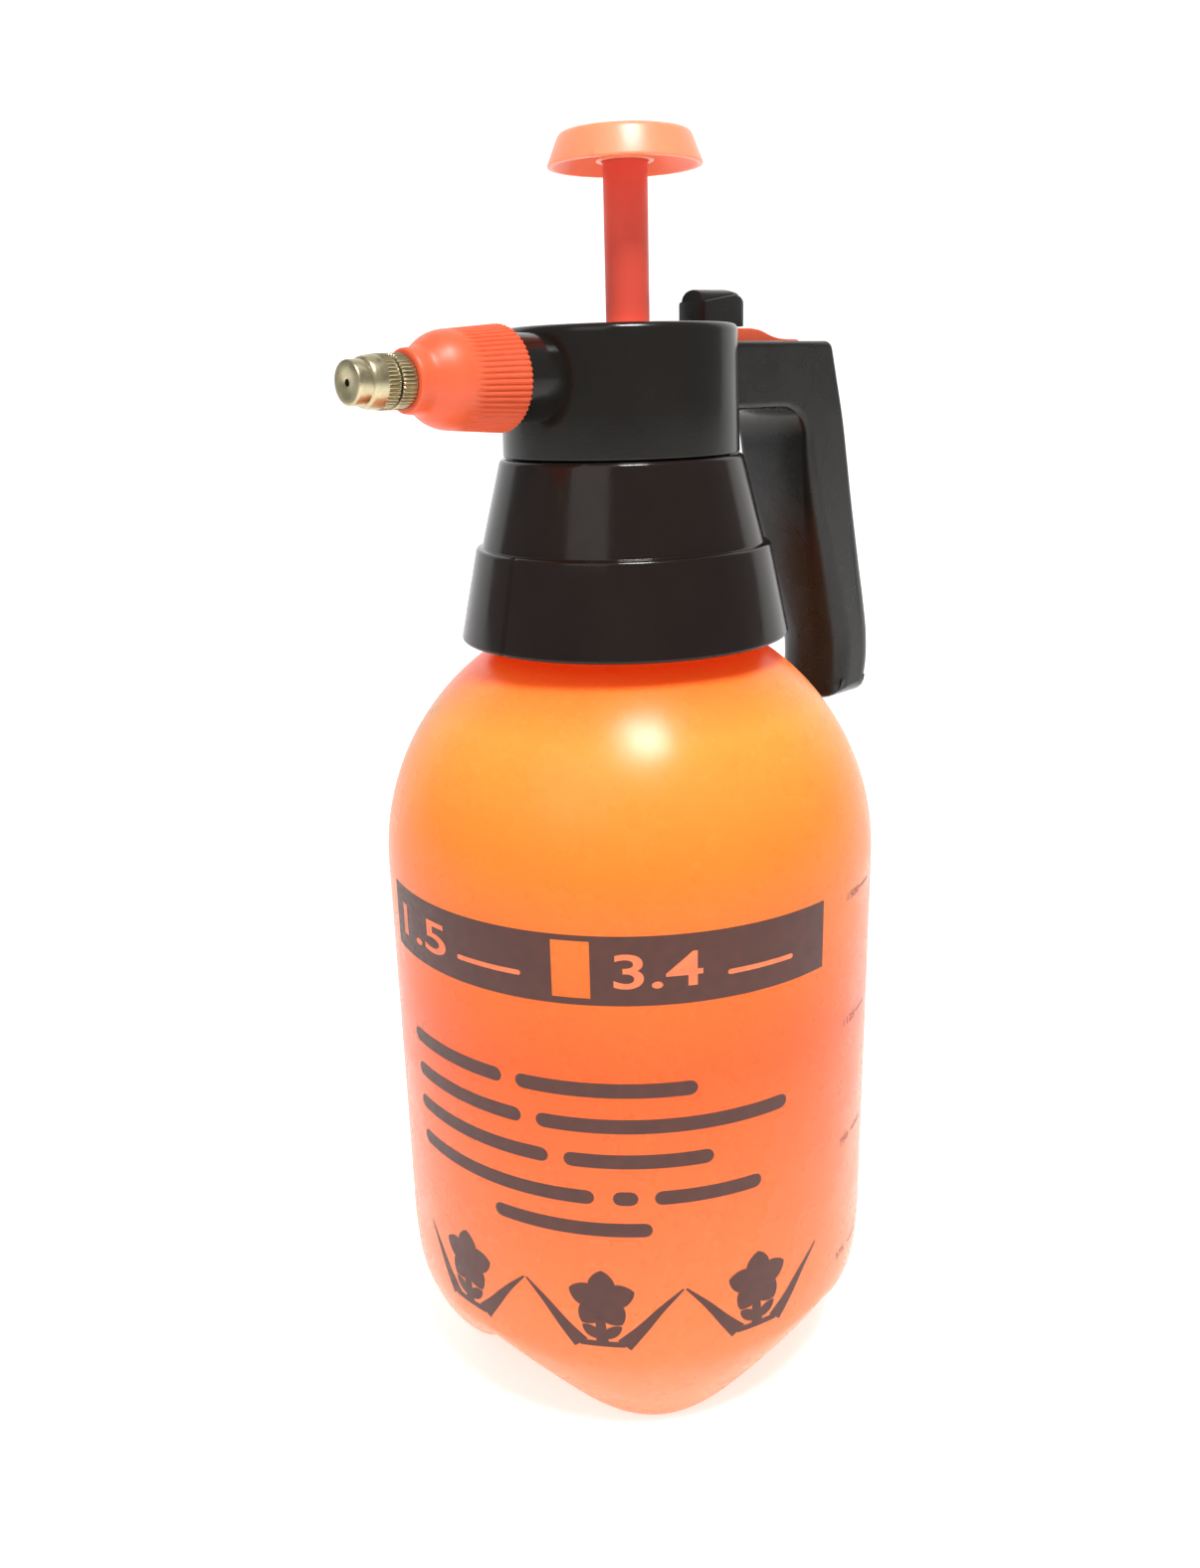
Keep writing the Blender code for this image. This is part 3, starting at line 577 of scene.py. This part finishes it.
def drawn(shapes):
    """A flat bmesh of polygons given as lists of (arc length, height)."""
    made = bmesh.new()
    for shape in shapes:
        face = made.faces.new([made.verts.new((x, y, 0.0)) for x, y in shape])
        if face.normal.z < 0:
            face.normal_flip()
    bmesh.ops.triangulate(made, faces=made.faces[:])
    return made


def arc(degrees):
    return math.radians(degrees) * RADIUS


def rectangle(left, right, low, high):
    """A rectangle from turns in degrees and heights in millimetres."""
    return [(arc(left), low), (arc(right), low), (arc(right), high), (arc(left), high)]


def bar(left, right, low, high):
    """A bar with rounded ends."""
    radius = (high - low) / 2
    centre = (low + high) / 2
    points = []
    for side, middle in ((1, arc(right) - radius), (-1, arc(left) + radius)):
        for k in range(7):
            turn = math.radians(-90.0 + 30.0 * k) if side > 0 else math.radians(90.0 + 30.0 * k)
            points.append((middle + radius * math.cos(turn), centre + radius * math.sin(turn)))
    return points


def numerals(text, left, low, height, width):
    """A flat bmesh of plain numerals that start at a turn in degrees and stand on a height."""
    curve = bpy.data.curves.new("numerals", "FONT")
    curve.body = text
    curve.size = 10.0
    curve.offset = 0.12
    holder = bpy.data.objects.new("numerals", curve)
    bpy.context.scene.collection.objects.link(holder)
    bpy.context.view_layer.update()
    graph = bpy.context.evaluated_depsgraph_get()
    mesh = bpy.data.meshes.new_from_object(holder.evaluated_get(graph))
    made = bmesh.new()
    made.from_mesh(mesh)
    bpy.data.objects.remove(holder, do_unlink=True)
    bpy.data.meshes.remove(mesh)
    across = [vert.co.x for vert in made.verts]
    upright = [vert.co.y for vert in made.verts]
    wide = width / (max(across) - min(across))
    height_tint_and_painted_light = height / (max(upright) - min(upright))
    for vert in made.verts:
        x = arc(left) + (vert.co.x - min(across)) * wide
        y = low + (vert.co.y - min(upright)) * height_tint_and_painted_light
        vert.co = (x, y, 0.0)
    return made


def capacity_band():
    shapes = [
        rectangle(-66.0, -16.1, 122.0, 138.3),
        rectangle(-8.0, 46.0, 122.0, 138.3),
        rectangle(-16.1, -8.0, 122.0, 123.6),
        rectangle(-16.1, -8.0, 137.0, 138.3),
    ]
    printed("capacity_band", drawn(shapes), INK)
    printed("capacity_litres", numerals("1.5", -61.5, 126.0, 8.0, 19.5), KNOCKOUT, lift=0.05)
    printed("capacity_pints", numerals("3.4", -3.2, 126.0, 8.2, 19.5), KNOCKOUT, lift=0.05)
    units = [bar(-39.5, -23.0, 127.4, 128.6), bar(20.5, 36.5, 127.4, 128.6)]
    printed("unit_lines", drawn(units), KNOCKOUT, lift=0.05)


def plain_lines():
    """Plain bars where the wording stands."""
    rows = (
        (99.8, ((-59.0, -29.0), (-25.5, 14.0))),
        (90.8, ((-58.0, -24.5), (-21.0, 35.5))),
        (81.8, ((-58.0, -18.5), (-15.0, 17.5))),
        (72.2, ((-57.5, -8.5), (-4.5, 1.0), (4.5, 29.0))),
        (63.8, ((-32.5, 4.0),)),
    )
    shapes = []
    for low, words in rows:
        for left, right in words:
            shapes.append(bar(left, right, low - 0.4, low + 3.2))
    printed("plain_lines", drawn(shapes), INK)


def petal(x, y, direction, length, width):
    """A leaf-shaped outline from a point."""
    along = Vector((math.cos(direction), math.sin(direction)))
    across = Vector((-along.y, along.x))
    points = []
    for k in range(17):
        t = k / 16
        points.append((t * length, width / 2 * math.sin(math.pi * t) ** 0.7))
    for k in range(15, 0, -1):
        t = k / 16
        points.append((t * length, -width / 2 * math.sin(math.pi * t) ** 0.7))
    return [tuple(Vector((x, y)) + along * u + across * v) for u, v in points]


def stroke(points, start_width, end_width):
    """A curved stroke whose width changes from one end to the other."""
    path = [Vector(point) for point in spline(points, 8)]
    left, right = [], []
    for i, point in enumerate(path):
        along = (path[min(i + 1, len(path) - 1)] - path[max(i - 1, 0)]).normalized()
        across = Vector((-along.y, along.x))
        t = i / (len(path) - 1)
        width = start_width + (end_width - start_width) * t
        left.append(tuple(point + across * width / 2))
        right.append(tuple(point - across * width / 2))
    return left + right[::-1]


def plant_marks():
    """A row of three simple potted flowers, joined by curved strokes."""
    shapes = []
    for middle, outer_left, outer_right in ((-42.5, -57.5, -25.8), (-7.6, -25.2, 10.6), (28.4, 11.2, 46.2)):
        x = arc(middle)
        for k in range(5):
            shapes.append(petal(x, 45.8, math.radians(90.0 + 72.0 * k), 8.2, 6.4))
        shapes.append(stroke([(x, 42.6), (x - 0.3, 39.0), (x, 34.0)], 1.8, 3.0))
        shapes.append(petal(x, 35.0, math.radians(38.0), 6.0, 3.0))
        shapes.append(petal(x, 35.0, math.radians(142.0), 6.0, 3.0))
        shapes.append([(x - 5.4, 32.6), (x + 5.4, 32.6), (x + 5.8, 34.2), (x - 5.8, 34.2)])
        for side, outer in ((-1, outer_left), (1, outer_right)):
            end = arc(outer)
            reach = abs(end - x)
            curve = [(x + side * 5.2, 33.2), (x + side * (5.2 + 0.28 * (reach - 5.2)), 37.6)]
            curve += [(x + side * (5.2 + 0.62 * (reach - 5.2)), 43.2), (end, 48.4)]
            shapes.append(stroke(curve, 4.2, 0.5))
    printed("plant_marks", drawn(shapes), INK)


def scale_marks():
    """Level marks with their volumes, on the side of the bottle."""
    marks = []
    for label, height in (("1500", 135.5), ("1125", 103.0), ("750", 70.2), ("375", 37.0)):
        marks.append(rectangle(63.0, 70.0, height - 0.25, height + 0.25))
        printed(f"volume_{label}", numerals(label, 56.0, height - 0.9, 1.9, 1.7 * len(label)), INK)
    printed("level_marks", drawn(marks), INK)


# ---------------------------------------------------------------- collar and head


def collar():
    corners = [
        (25.8, 234.0, 0.4),
        (25.8, 226.9, 0.0),
        (28.5, 226.9, 0.0),
        (28.5, 199.0, 0.4),
        (30.3, 199.0, 0.4),
        (30.7, 210.7, 0.5),
        (32.8, 210.7, 0.5),
        (37.4, 192.3, 0.4),
        (39.6, 192.3, 0.7),
        (35.0, 213.7, 1.0),
        (33.6, 213.95, 0.3),
        (28.5, 234.0, 1.3),
    ]

    def parting_line(radius, height, turn):
        """A fine groove down the lower tier, where the two halves of the mould met."""
        off_centre = abs(math.sin(turn - math.radians(90.0)))
        lower_tier = radius > 33.0 and height < 213.8
        return -0.8 if lower_tier and off_centre < 0.006 else 0.0

    made = revolve(filleted(corners), 288, ripple=parting_line)
    add_piece("collar_shell", made, COLLAR_WITH_PAINTED_REFLECTION.material, "collar", ["collar_nut"])


def drum():
    """The head's round part: skirt and flange below, rim above, hollow inside."""
    corners = [
        (0.0, 258.8, 0.0),
        (24.9, 258.8, 0.8),
        (24.6, 236.8, 0.0),
        (23.8, 235.5, 0.0),
        (23.8, 223.6, 0.3),
        (28.0, 223.6, 0.3),
        (28.0, 226.6, 0.3),
        (25.4, 226.6, 0.3),
        (25.4, 234.3, 0.2),
        (27.7, 234.3, 0.5),
        (27.0, 262.6, 1.9),
        (0.0, 262.6, 0.0),
    ]
    outline = filleted(corners, closed=False)
    obj = add_piece("head_drum", revolve(outline, 192), BLACK.material, "head", ["head_body"])
    bush_hole = revolve([(0.0, 250.0), (7.9, 250.0), (7.9, 270.0), (0.0, 270.0)], 64, centre=(0.0, PUMP_Y))
    spout_hole = revolve([(0.0, 18.0), (2.6, 18.0), (2.6, 34.0), (0.0, 34.0)], 48, forward=True)
    channel = cutter((-5.8, 20.0, 250.6), (5.8, 32.0, 258.2))
    slot = cutter((-6.0, 23.4, 257.4), (6.0, 32.0, 270.0))
    carve(obj, [bush_hole, spout_hole, channel, slot])


def handle_outline():
    """The side view of the arm and the grip as (distance, height) points."""
    rear = [(71.6, 242.0), (73.6, 236.0), (77.8, 222.0), (84.0, 204.0)]
    rear += [(89.2, 190.0), (92.4, 179.0), (92.4, 171.0), (91.2, 165.6)]
    front = [(73.2, 165.6), (73.2, 171.0), (72.6, 179.0), (69.4, 190.0)]
    front += [(64.9, 204.0), (59.5, 222.0), (57.3, 231.5)]
    top = filleted([(24.0, 259.0, 0.0), (66.2, 259.0, 3.0), (71.6, 242.0, 0.0)], closed=False, steps=8)
    foot = [(91.2, 165.6, 0.0), (89.6, 161.9, 3.2), (74.6, 161.9, 2.6), (73.2, 165.6, 0.0)]
    foot = filleted(foot, closed=False)
    arch = [(57.3, 231.5), (56.4, 236.6), (53.6, 240.6), (49.4, 242.6), (44.0, 243.1), (24.0, 243.1)]
    arch = spline(arch, 5)
    return top[:-1] + spline(rear, 4) + foot[1:-1] + spline(front, 4)[:-1] + arch


def handle():
    """Arm and grip in one sweep: boxy under the lever, rounder towards the bottom of the grip."""
    outline = [Vector(point) for point in handle_outline()]
    count = len(outline)
    half_width = ((243.0, 12.0), (222.0, 11.8), (204.0, 11.6), (190.0, 11.3), (178.0, 11.0), (162.0, 10.6))
    rounding_across = ((242.0, 1.5), (225.0, 3.2), (205.0, 6.0), (190.0, 8.0), (178.0, 9.0), (162.0, 7.6))
    rounding_in = ((242.0, 1.5), (225.0, 2.6), (205.0, 4.6), (190.0, 6.2), (178.0, 7.0), (162.0, 5.6))
    normals = []
    for i, point in enumerate(outline):
        along = (outline[(i + 1) % count] - outline[i - 1]).normalized()
        normals.append(Vector((-along.y, along.x)))
    area = sum(a.x * b.y - b.x * a.y for a, b in zip(outline, outline[1:] + outline[:1]))
    inwards = [normal if area > 0 else -normal for normal in normals]
    layers = 9
    sides = []
    for k in range(layers):
        bend = math.radians(90.0 * k / (layers - 1))
        ring = []
        for point, inward in zip(outline, inwards):
            depth = between(point.y, rounding_in) * (1 - math.cos(bend))
            across = between(point.y, half_width) - between(point.y, rounding_across) * (1 - math.sin(bend))
            spot = point + inward * depth
            ring.append((across, spot.x, spot.y))
        sides.append(ring)
    # A last ring on the flat of each side keeps the shading of the side plate even.
    plate = []
    for point, inward in zip(outline, inwards):
        spot = point + inward * (between(point.y, rounding_in) + 0.5)
        plate.append((between(point.y, half_width), spot.x, spot.y))
    sides.append(plate)
    rings = sides[::-1] + [[(-x, y, z) for x, y, z in ring] for ring in sides]
    made = loft(rings)
    obj = add_piece("head_handle", made, DARK.material, "head", ["head_body"], sharp=50.0)
    channel = cutter((-5.9, 20.0, 250.6), (5.9, 62.2, 266.0))
    carve(obj, [channel, cross_pin(1.8, -20.0, 8.0, 57.0, 256.6)])


def spout():
    corners = [
        (2.6, 21.0, 0.0),
        (9.3, 21.0, 0.0),
        (9.3, 35.8, 0.8),
        (7.2, 35.8, 0.0),
        (7.2, 48.5, 0.4),
        (2.0, 48.5, 0.0),
        (2.0, 31.0, 0.0),
        (2.6, 31.0, 0.0),
    ]
    made = revolve(filleted(corners), 96, forward=True)
    add_piece("head_spout", made, BLACK.material, "head", ["head_body"])


# ---------------------------------------------------------------- pump


def pump():
    foot, top, edge = 207.6, 301.2, 0.3
    rod = [(0.0, foot, 0.0), (ROD_RADIUS, foot, edge), (ROD_RADIUS, top, edge), (0.0, top, 0.0)]
    made = revolve(filleted(rod, closed=False), 96, centre=(0.0, PUMP_Y))
    add_piece("pump_stem", made, STEM.material, "pump", ["pump_rod"])
    knob = [
        (0.0, 301.6, 0.0),
        (5.3, 301.6, 0.0),
        (5.3, 297.0, 0.3),
        (6.5, 297.0, 0.4),
        (6.9, 300.8, 1.0),
        (12.6, 300.8, 1.5),
        (16.1, 296.0, 0.2),
        (17.5, 296.0, 0.5),
        (14.6, 303.0, 1.9),
        (0.0, 303.0, 0.0),
    ]
    made = revolve(filleted(knob, closed=False), 160, centre=(0.0, PUMP_Y))
    obj = add_piece("knob_cap", made, PEACH.material, "pump", ["pump_knob"])
    gussets = []
    for k in range(6):
        rib = loft([[(x, 6.2, 297.6), (x, 6.2, 301.8), (x, 12.6, 301.8)] for x in (-0.4, 0.4)])
        turn = Matrix.Translation((0, PUMP_Y, 0)) @ Matrix.Rotation(math.radians(60.0 * k + 16.0), 4, "Z")
        bmesh.ops.transform(rib, matrix=turn, verts=rib.verts)
        gussets.append(rib)
    carve(obj, gussets, "UNION")


# ---------------------------------------------------------------- nozzle


def cap_ripple(radius, height, turn):
    """Fine ribs along the nut that fade out before its shoulder, and a notched back edge."""
    if radius < 9.9 or height > 51.0:
        return 0.0
    fade = min(max((50.6 - height) / 2.6, 0.0), 1.0)
    wave = 0.5 + 0.5 * math.cos(CAP_RIBS * turn)
    return -RIB_DEPTH * fade * wave**1.6


def knurl(low, high):
    """Straight teeth on a ring between two distances along the nozzle."""

    def ripple(radius, height, turn):
        if radius < 5.0 or not low <= height <= high:
            return 0.0
        wave = 0.5 + 0.5 * math.cos(KNURL_TEETH * turn)
        return -KNURL_DEPTH * wave**1.5

    return ripple


def nozzle():
    ribbed = [(10.9, 36.45), (11.1, 36.8)] + [(11.1 - 0.077 * i, 36.9 + i) for i in range(14)]
    shoulder = spline([(10.03, 50.9), (9.75, 52.6), (9.1, 54.5), (8.0, 56.3), (6.95, 57.8), (6.62, 59.0)], 5)
    neck = [(6.5, 60.2), (6.4, 61.1), (6.2, 61.4), (5.9, 61.5), (4.9, 61.5)]
    inside = [(4.9, 52.8), (7.6, 52.8), (7.6, 36.6), (7.9, 36.4), (10.5, 36.4)]
    made = revolve(ribbed + shoulder + neck + inside, CAP_RIBS * 8, forward=True, ripple=cap_ripple)
    add_piece("nozzle_cap", made, ORANGE.material, "nozzle_nut", ["nozzle_nut"], sharp=48.0)

    base = [
        (1.6, 50.6, 0.0),
        (7.0, 50.6, 0.2),
        (7.0, 52.5, 0.2),
        (4.6, 52.5, 0.2),
        (4.6, 61.8, 0.0),
        (5.1, 61.8, 0.0),
    ]
    ring = [(5.45, 62.0), (5.45, 62.8), (5.45, 63.6), (5.45, 64.4), (5.45, 65.0), (5.1, 65.2)]
    thread_end = [(3.4, 65.2), (3.4, 67.2), (2.7, 67.2), (2.7, 68.6), (3.4, 68.6), (3.4, 70.2), (1.6, 70.2)]
    outline = filleted(base) + ring + thread_end
    made = revolve(outline, KNURL_TEETH * 8, forward=True, ripple=knurl(61.9, 65.1))
    add_piece("nozzle_stem", made, BRASS.material, "head", ["nozzle_base"], sharp=50.0)

    knurled = [(3.85, 65.7), (5.1, 65.7), (5.42, 65.9), (5.42, 66.6), (5.42, 67.4)]
    knurled += [(5.42, 68.2), (5.36, 68.6)]
    front = spline([(5.36, 68.6), (5.26, 69.6), (5.08, 70.8), (4.86, 71.5), (4.45, 71.8)], 4)
    tip = [(4.42, 72.4), (4.38, 74.5), (4.3, 74.8), (4.1, 74.98), (3.8, 75.0), (0.95, 75.0), (0.75, 74.85)]
    inside = [(0.75, 73.6), (3.5, 72.8), (3.85, 72.3)]
    outline = knurled + front[1:] + tip + inside
    made = revolve(outline, KNURL_TEETH * 8, forward=True, ripple=knurl(65.85, 68.3))
    add_piece("nozzle_head", made, BRASS.material, "nozzle_tip", ["nozzle_tip"], sharp=50.0)


# ---------------------------------------------------------------- lever and lock


def lever():
    top = [(24.4, 261.5, 0.0), (25.1, 262.2, 0.0), (41.6, 262.2, 0.0)]
    slope = spline([(41.6, 262.2), (45.4, 261.75), (50.2, 260.35), (54.6, 259.72), (60.6, 259.6)], 5)
    below = [(61.4, 258.8), (60.6, 255.0), (57.0, 253.6), (53.0, 255.2)]
    below += [(30.0, 255.2), (17.4, 254.2), (17.4, 256.4)]
    outline = [(u, v) for u, v, _ in top[:-1]] + slope + below + [(24.4, 257.2)]
    made = loft([[(x, y, z) for y, z in outline] for x in (-5.0, 5.0)])
    obj = add_piece("lever_blade", made, ORANGE.material, "lever", ["thumb_lever"])
    pocket = cutter((-3.9, 27.0, 250.0), (3.9, 42.0, 260.4))
    slot = cutter((-1.6, 27.8, 255.0), (1.6, 41.2, 265.0))
    carve(obj, [pocket, slot, cross_pin(1.6, -20.0, 20.0, 57.0, 256.6)])
    soften(obj, 0.35)


def slider_section(reach, shrink, eaves, crown, arch):
    """A slice of the slider: upright sides, small shoulders and an arched roof."""
    base, half_width = 262.5, 4.4
    middle = (base + crown) / 2
    side = [(half_width, base), (half_width, eaves - 0.6)]
    side += [(half_width - 0.12, eaves - 0.2), (half_width - 0.5, eaves)]
    roof = []
    for i in range(13):
        turn = math.radians(15.0 * i)
        roof.append((arch * math.cos(turn), eaves + (crown - eaves) * math.sin(turn)))
    points = side + roof + [(-x, z) for x, z in reversed(side)]
    return [(x * shrink, reach, middle + (z - middle) * shrink) for x, z in points]


def slider():
    rings = [
        slider_section(25.2, 0.93, 268.4, 271.0, 3.5),
        slider_section(25.35, 0.98, 268.4, 271.0, 3.5),
        slider_section(25.7, 1.0, 268.4, 271.0, 3.5),
        slider_section(31.0, 1.0, 269.2, 271.1, 3.6),
        slider_section(36.0, 1.0, 269.9, 271.2, 3.7),
        slider_section(38.2, 1.0, 269.6, 270.9, 3.7),
        slider_section(39.2, 0.985, 268.9, 270.2, 3.6),
        slider_section(39.6, 0.93, 268.6, 269.8, 3.5),
    ]
    obj = add_piece("lock_cap", loft(rings), DARK.material, "lock", ["lock_slider"])
    stem = cutter((-1.3, 30.0, 259.0), (1.3, 36.0, 264.0))
    foot = cutter((-3.4, 29.4, 258.4), (3.4, 36.6, 260.1))
    carve(obj, [stem, foot], "UNION")


# ---------------------------------------------------------------- valve spring

SPRING_FOOT = 231.2
SPRING_HEAD = 236.4
VALVE_Y = 19.3


def valve_spring():
    """The coil under the valve pin, built at one length; the real coil shortens by the valve's travel."""
    wire, coil, turns, steps, sides = 0.3, 2.0, 4, 24, 10
    rings = []
    for i in range(turns * steps + 1):
        turn = math.tau * i / steps
        outwards = Vector((math.cos(turn), math.sin(turn), 0.0))
        height = SPRING_FOOT + (SPRING_HEAD - SPRING_FOOT) * i / (turns * steps)
        middle = coil * outwards + Vector((0.0, VALVE_Y, height))
        ring = []
        for k in range(sides):
            around = math.tau * k / sides
            ring.append(middle + wire * (math.cos(around) * outwards + Vector((0.0, 0.0, math.sin(around)))))
        rings.append(ring)
    obj = add_piece("spring_coil", loft(rings), STEEL.material, "head", ["valve_spring"])
    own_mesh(obj)


# ---------------------------------------------------------------- CAD nodes that stay


def finish_inner_nodes():
    """The inner pieces keep their CAD shape and get their finish here."""
    plastic = ("pump_cylinder", "cylinder_cap", "rod_bush", "piston", "strainer")
    plastic += ("valve_body", "valve_cap", "swirl_core")
    seals = ("neck_gasket", "check_valve", "piston_seal", "pin_seal", "valve_seal")
    seals += ("spout_gasket", "nozzle_o_ring")
    finishes = {
        NATURAL: plastic,
        TUBE: ("pickup_tube", "outlet_tube"),
        RUBBER: seals,
        STEEL: ("valve_pin", "lever_pin"),
    }
    for look, names in finishes.items():
        for name in names:
            node = NODES[name]
            for slot in node.material_slots:
                slot.material = look.material


# ---------------------------------------------------------------- studio


def studio():
    """A pale floor that sweeps up into a pale wall, soft lights and a bright room."""
    depth, radius, width = 1.5, 1.0, 5.0
    profile = [(-3.0, 0.0), (0.0, 0.0), (depth, 0.0)]
    for degrees in range(6, 91, 6):
        bend = math.radians(degrees)
        profile.append((depth + radius * math.sin(bend), radius * (1 - math.cos(bend))))
    profile.append((depth + radius, 4.0))
    facing = Matrix.Rotation(math.radians(VIEW_AZIMUTH), 4, "Z")
    made = bmesh.new()
    rows = []
    for along, height in profile:
        rows.append([made.verts.new(facing @ Vector((side, along, height))) for side in (-width, width)])
    for first, second in zip(rows, rows[1:]):
        made.faces.new((first[0], first[1], second[1], second[0]))
    mesh = bpy.data.meshes.new("studio_floor")
    made.to_mesh(mesh)
    made.free()
    mesh.shade_smooth()
    floor = bpy.data.objects.new("studio_floor", mesh)
    bpy.context.scene.collection.objects.link(floor)
    paper = Look("pale_paper", Roughness=0.9, Specular_IOR_Level=0.1, Emission_Strength=0.58)
    paper.shader.inputs["Emission Color"].default_value = (1.0, 1.0, 1.0, 1.0)
    pale, paler = (0.93, 0.93, 0.93), (0.95, 0.95, 0.95)
    paper.colour(paper.ramp(paper.noise(40.0, detail=3.0), [(0.3, pale), (0.7, paler)]))
    mesh.materials.append(paper.material)

    world = bpy.data.worlds.new("room")
    bpy.context.scene.world = world
    world.use_nodes = True
    background = world.node_tree.nodes["Background"]
    background.inputs["Color"].default_value = (1.0, 1.0, 1.0, 1.0)
    background.inputs["Strength"].default_value = 0.34

    add_light("key", turn=17.0, rise=64.0, distance=1.0, size=0.27, power=12.0)
    add_light("front", turn=-30.0, rise=40.0, distance=1.6, size=0.9, power=3.0)


def add_light(name, turn, rise, distance, size, power):
    """A soft light at a turn from the camera's side and an elevation, both in degrees."""
    turn, rise = math.radians(turn), math.radians(rise)
    heading = turn + math.radians(VIEW_AZIMUTH - 90.0)
    target = Vector((0.0, AXIS_Y * MM, 0.15))
    offset = Vector((math.cos(heading) * math.cos(rise), math.sin(heading) * math.cos(rise), math.sin(rise)))
    light = bpy.data.lights.new(name, "AREA")
    light.shape = "RECTANGLE"
    light.size = size
    light.size_y = size
    light.energy = power
    holder = bpy.data.objects.new(name, light)
    bpy.context.scene.collection.objects.link(holder)
    holder.location = target + offset * distance
    holder.rotation_euler = (target - holder.location).to_track_quat("-Z", "Y").to_euler()


def camera():
    yaw, pitch, roll = (math.radians(value) for value in (CAMERA_YAW, CAMERA_PITCH, CAMERA_ROLL))
    forward = Vector((math.sin(yaw) * math.cos(pitch), math.cos(yaw) * math.cos(pitch), -math.sin(pitch)))
    level_right = Vector((math.cos(yaw), -math.sin(yaw), 0.0))
    level_up = level_right.cross(forward)
    right = math.cos(roll) * level_right + math.sin(roll) * level_up
    up = right.cross(forward)
    pose = Matrix((right, up, -forward)).transposed().to_4x4()
    pose.translation = Vector((CAMERA_SIDE, -CAMERA_DISTANCE, CAMERA_HEIGHT)) * MM
    spin = Matrix.Rotation(math.radians(VIEW_AZIMUTH), 4, "Z")
    shot = bpy.data.cameras.new("camera")
    shot.sensor_fit = "AUTO"
    shot.sensor_width = 36.0
    shot.lens = LENS
    holder = bpy.data.objects.new("camera", shot)
    bpy.context.scene.collection.objects.link(holder)
    holder.matrix_world = Matrix.Translation((0.0, AXIS_Y * MM, 0.0)) @ spin @ pose
    bpy.context.scene.camera = holder


# ---------------------------------------------------------------- everything

bottle()
capacity_band()
plain_lines()
plant_marks()
scale_marks()
collar()
drum()
handle()
spout()
pump()
nozzle()
lever()
slider()
valve_spring()
finish_inner_nodes()
studio()
camera()
bpy.context.scene.view_settings.view_transform = "Standard"
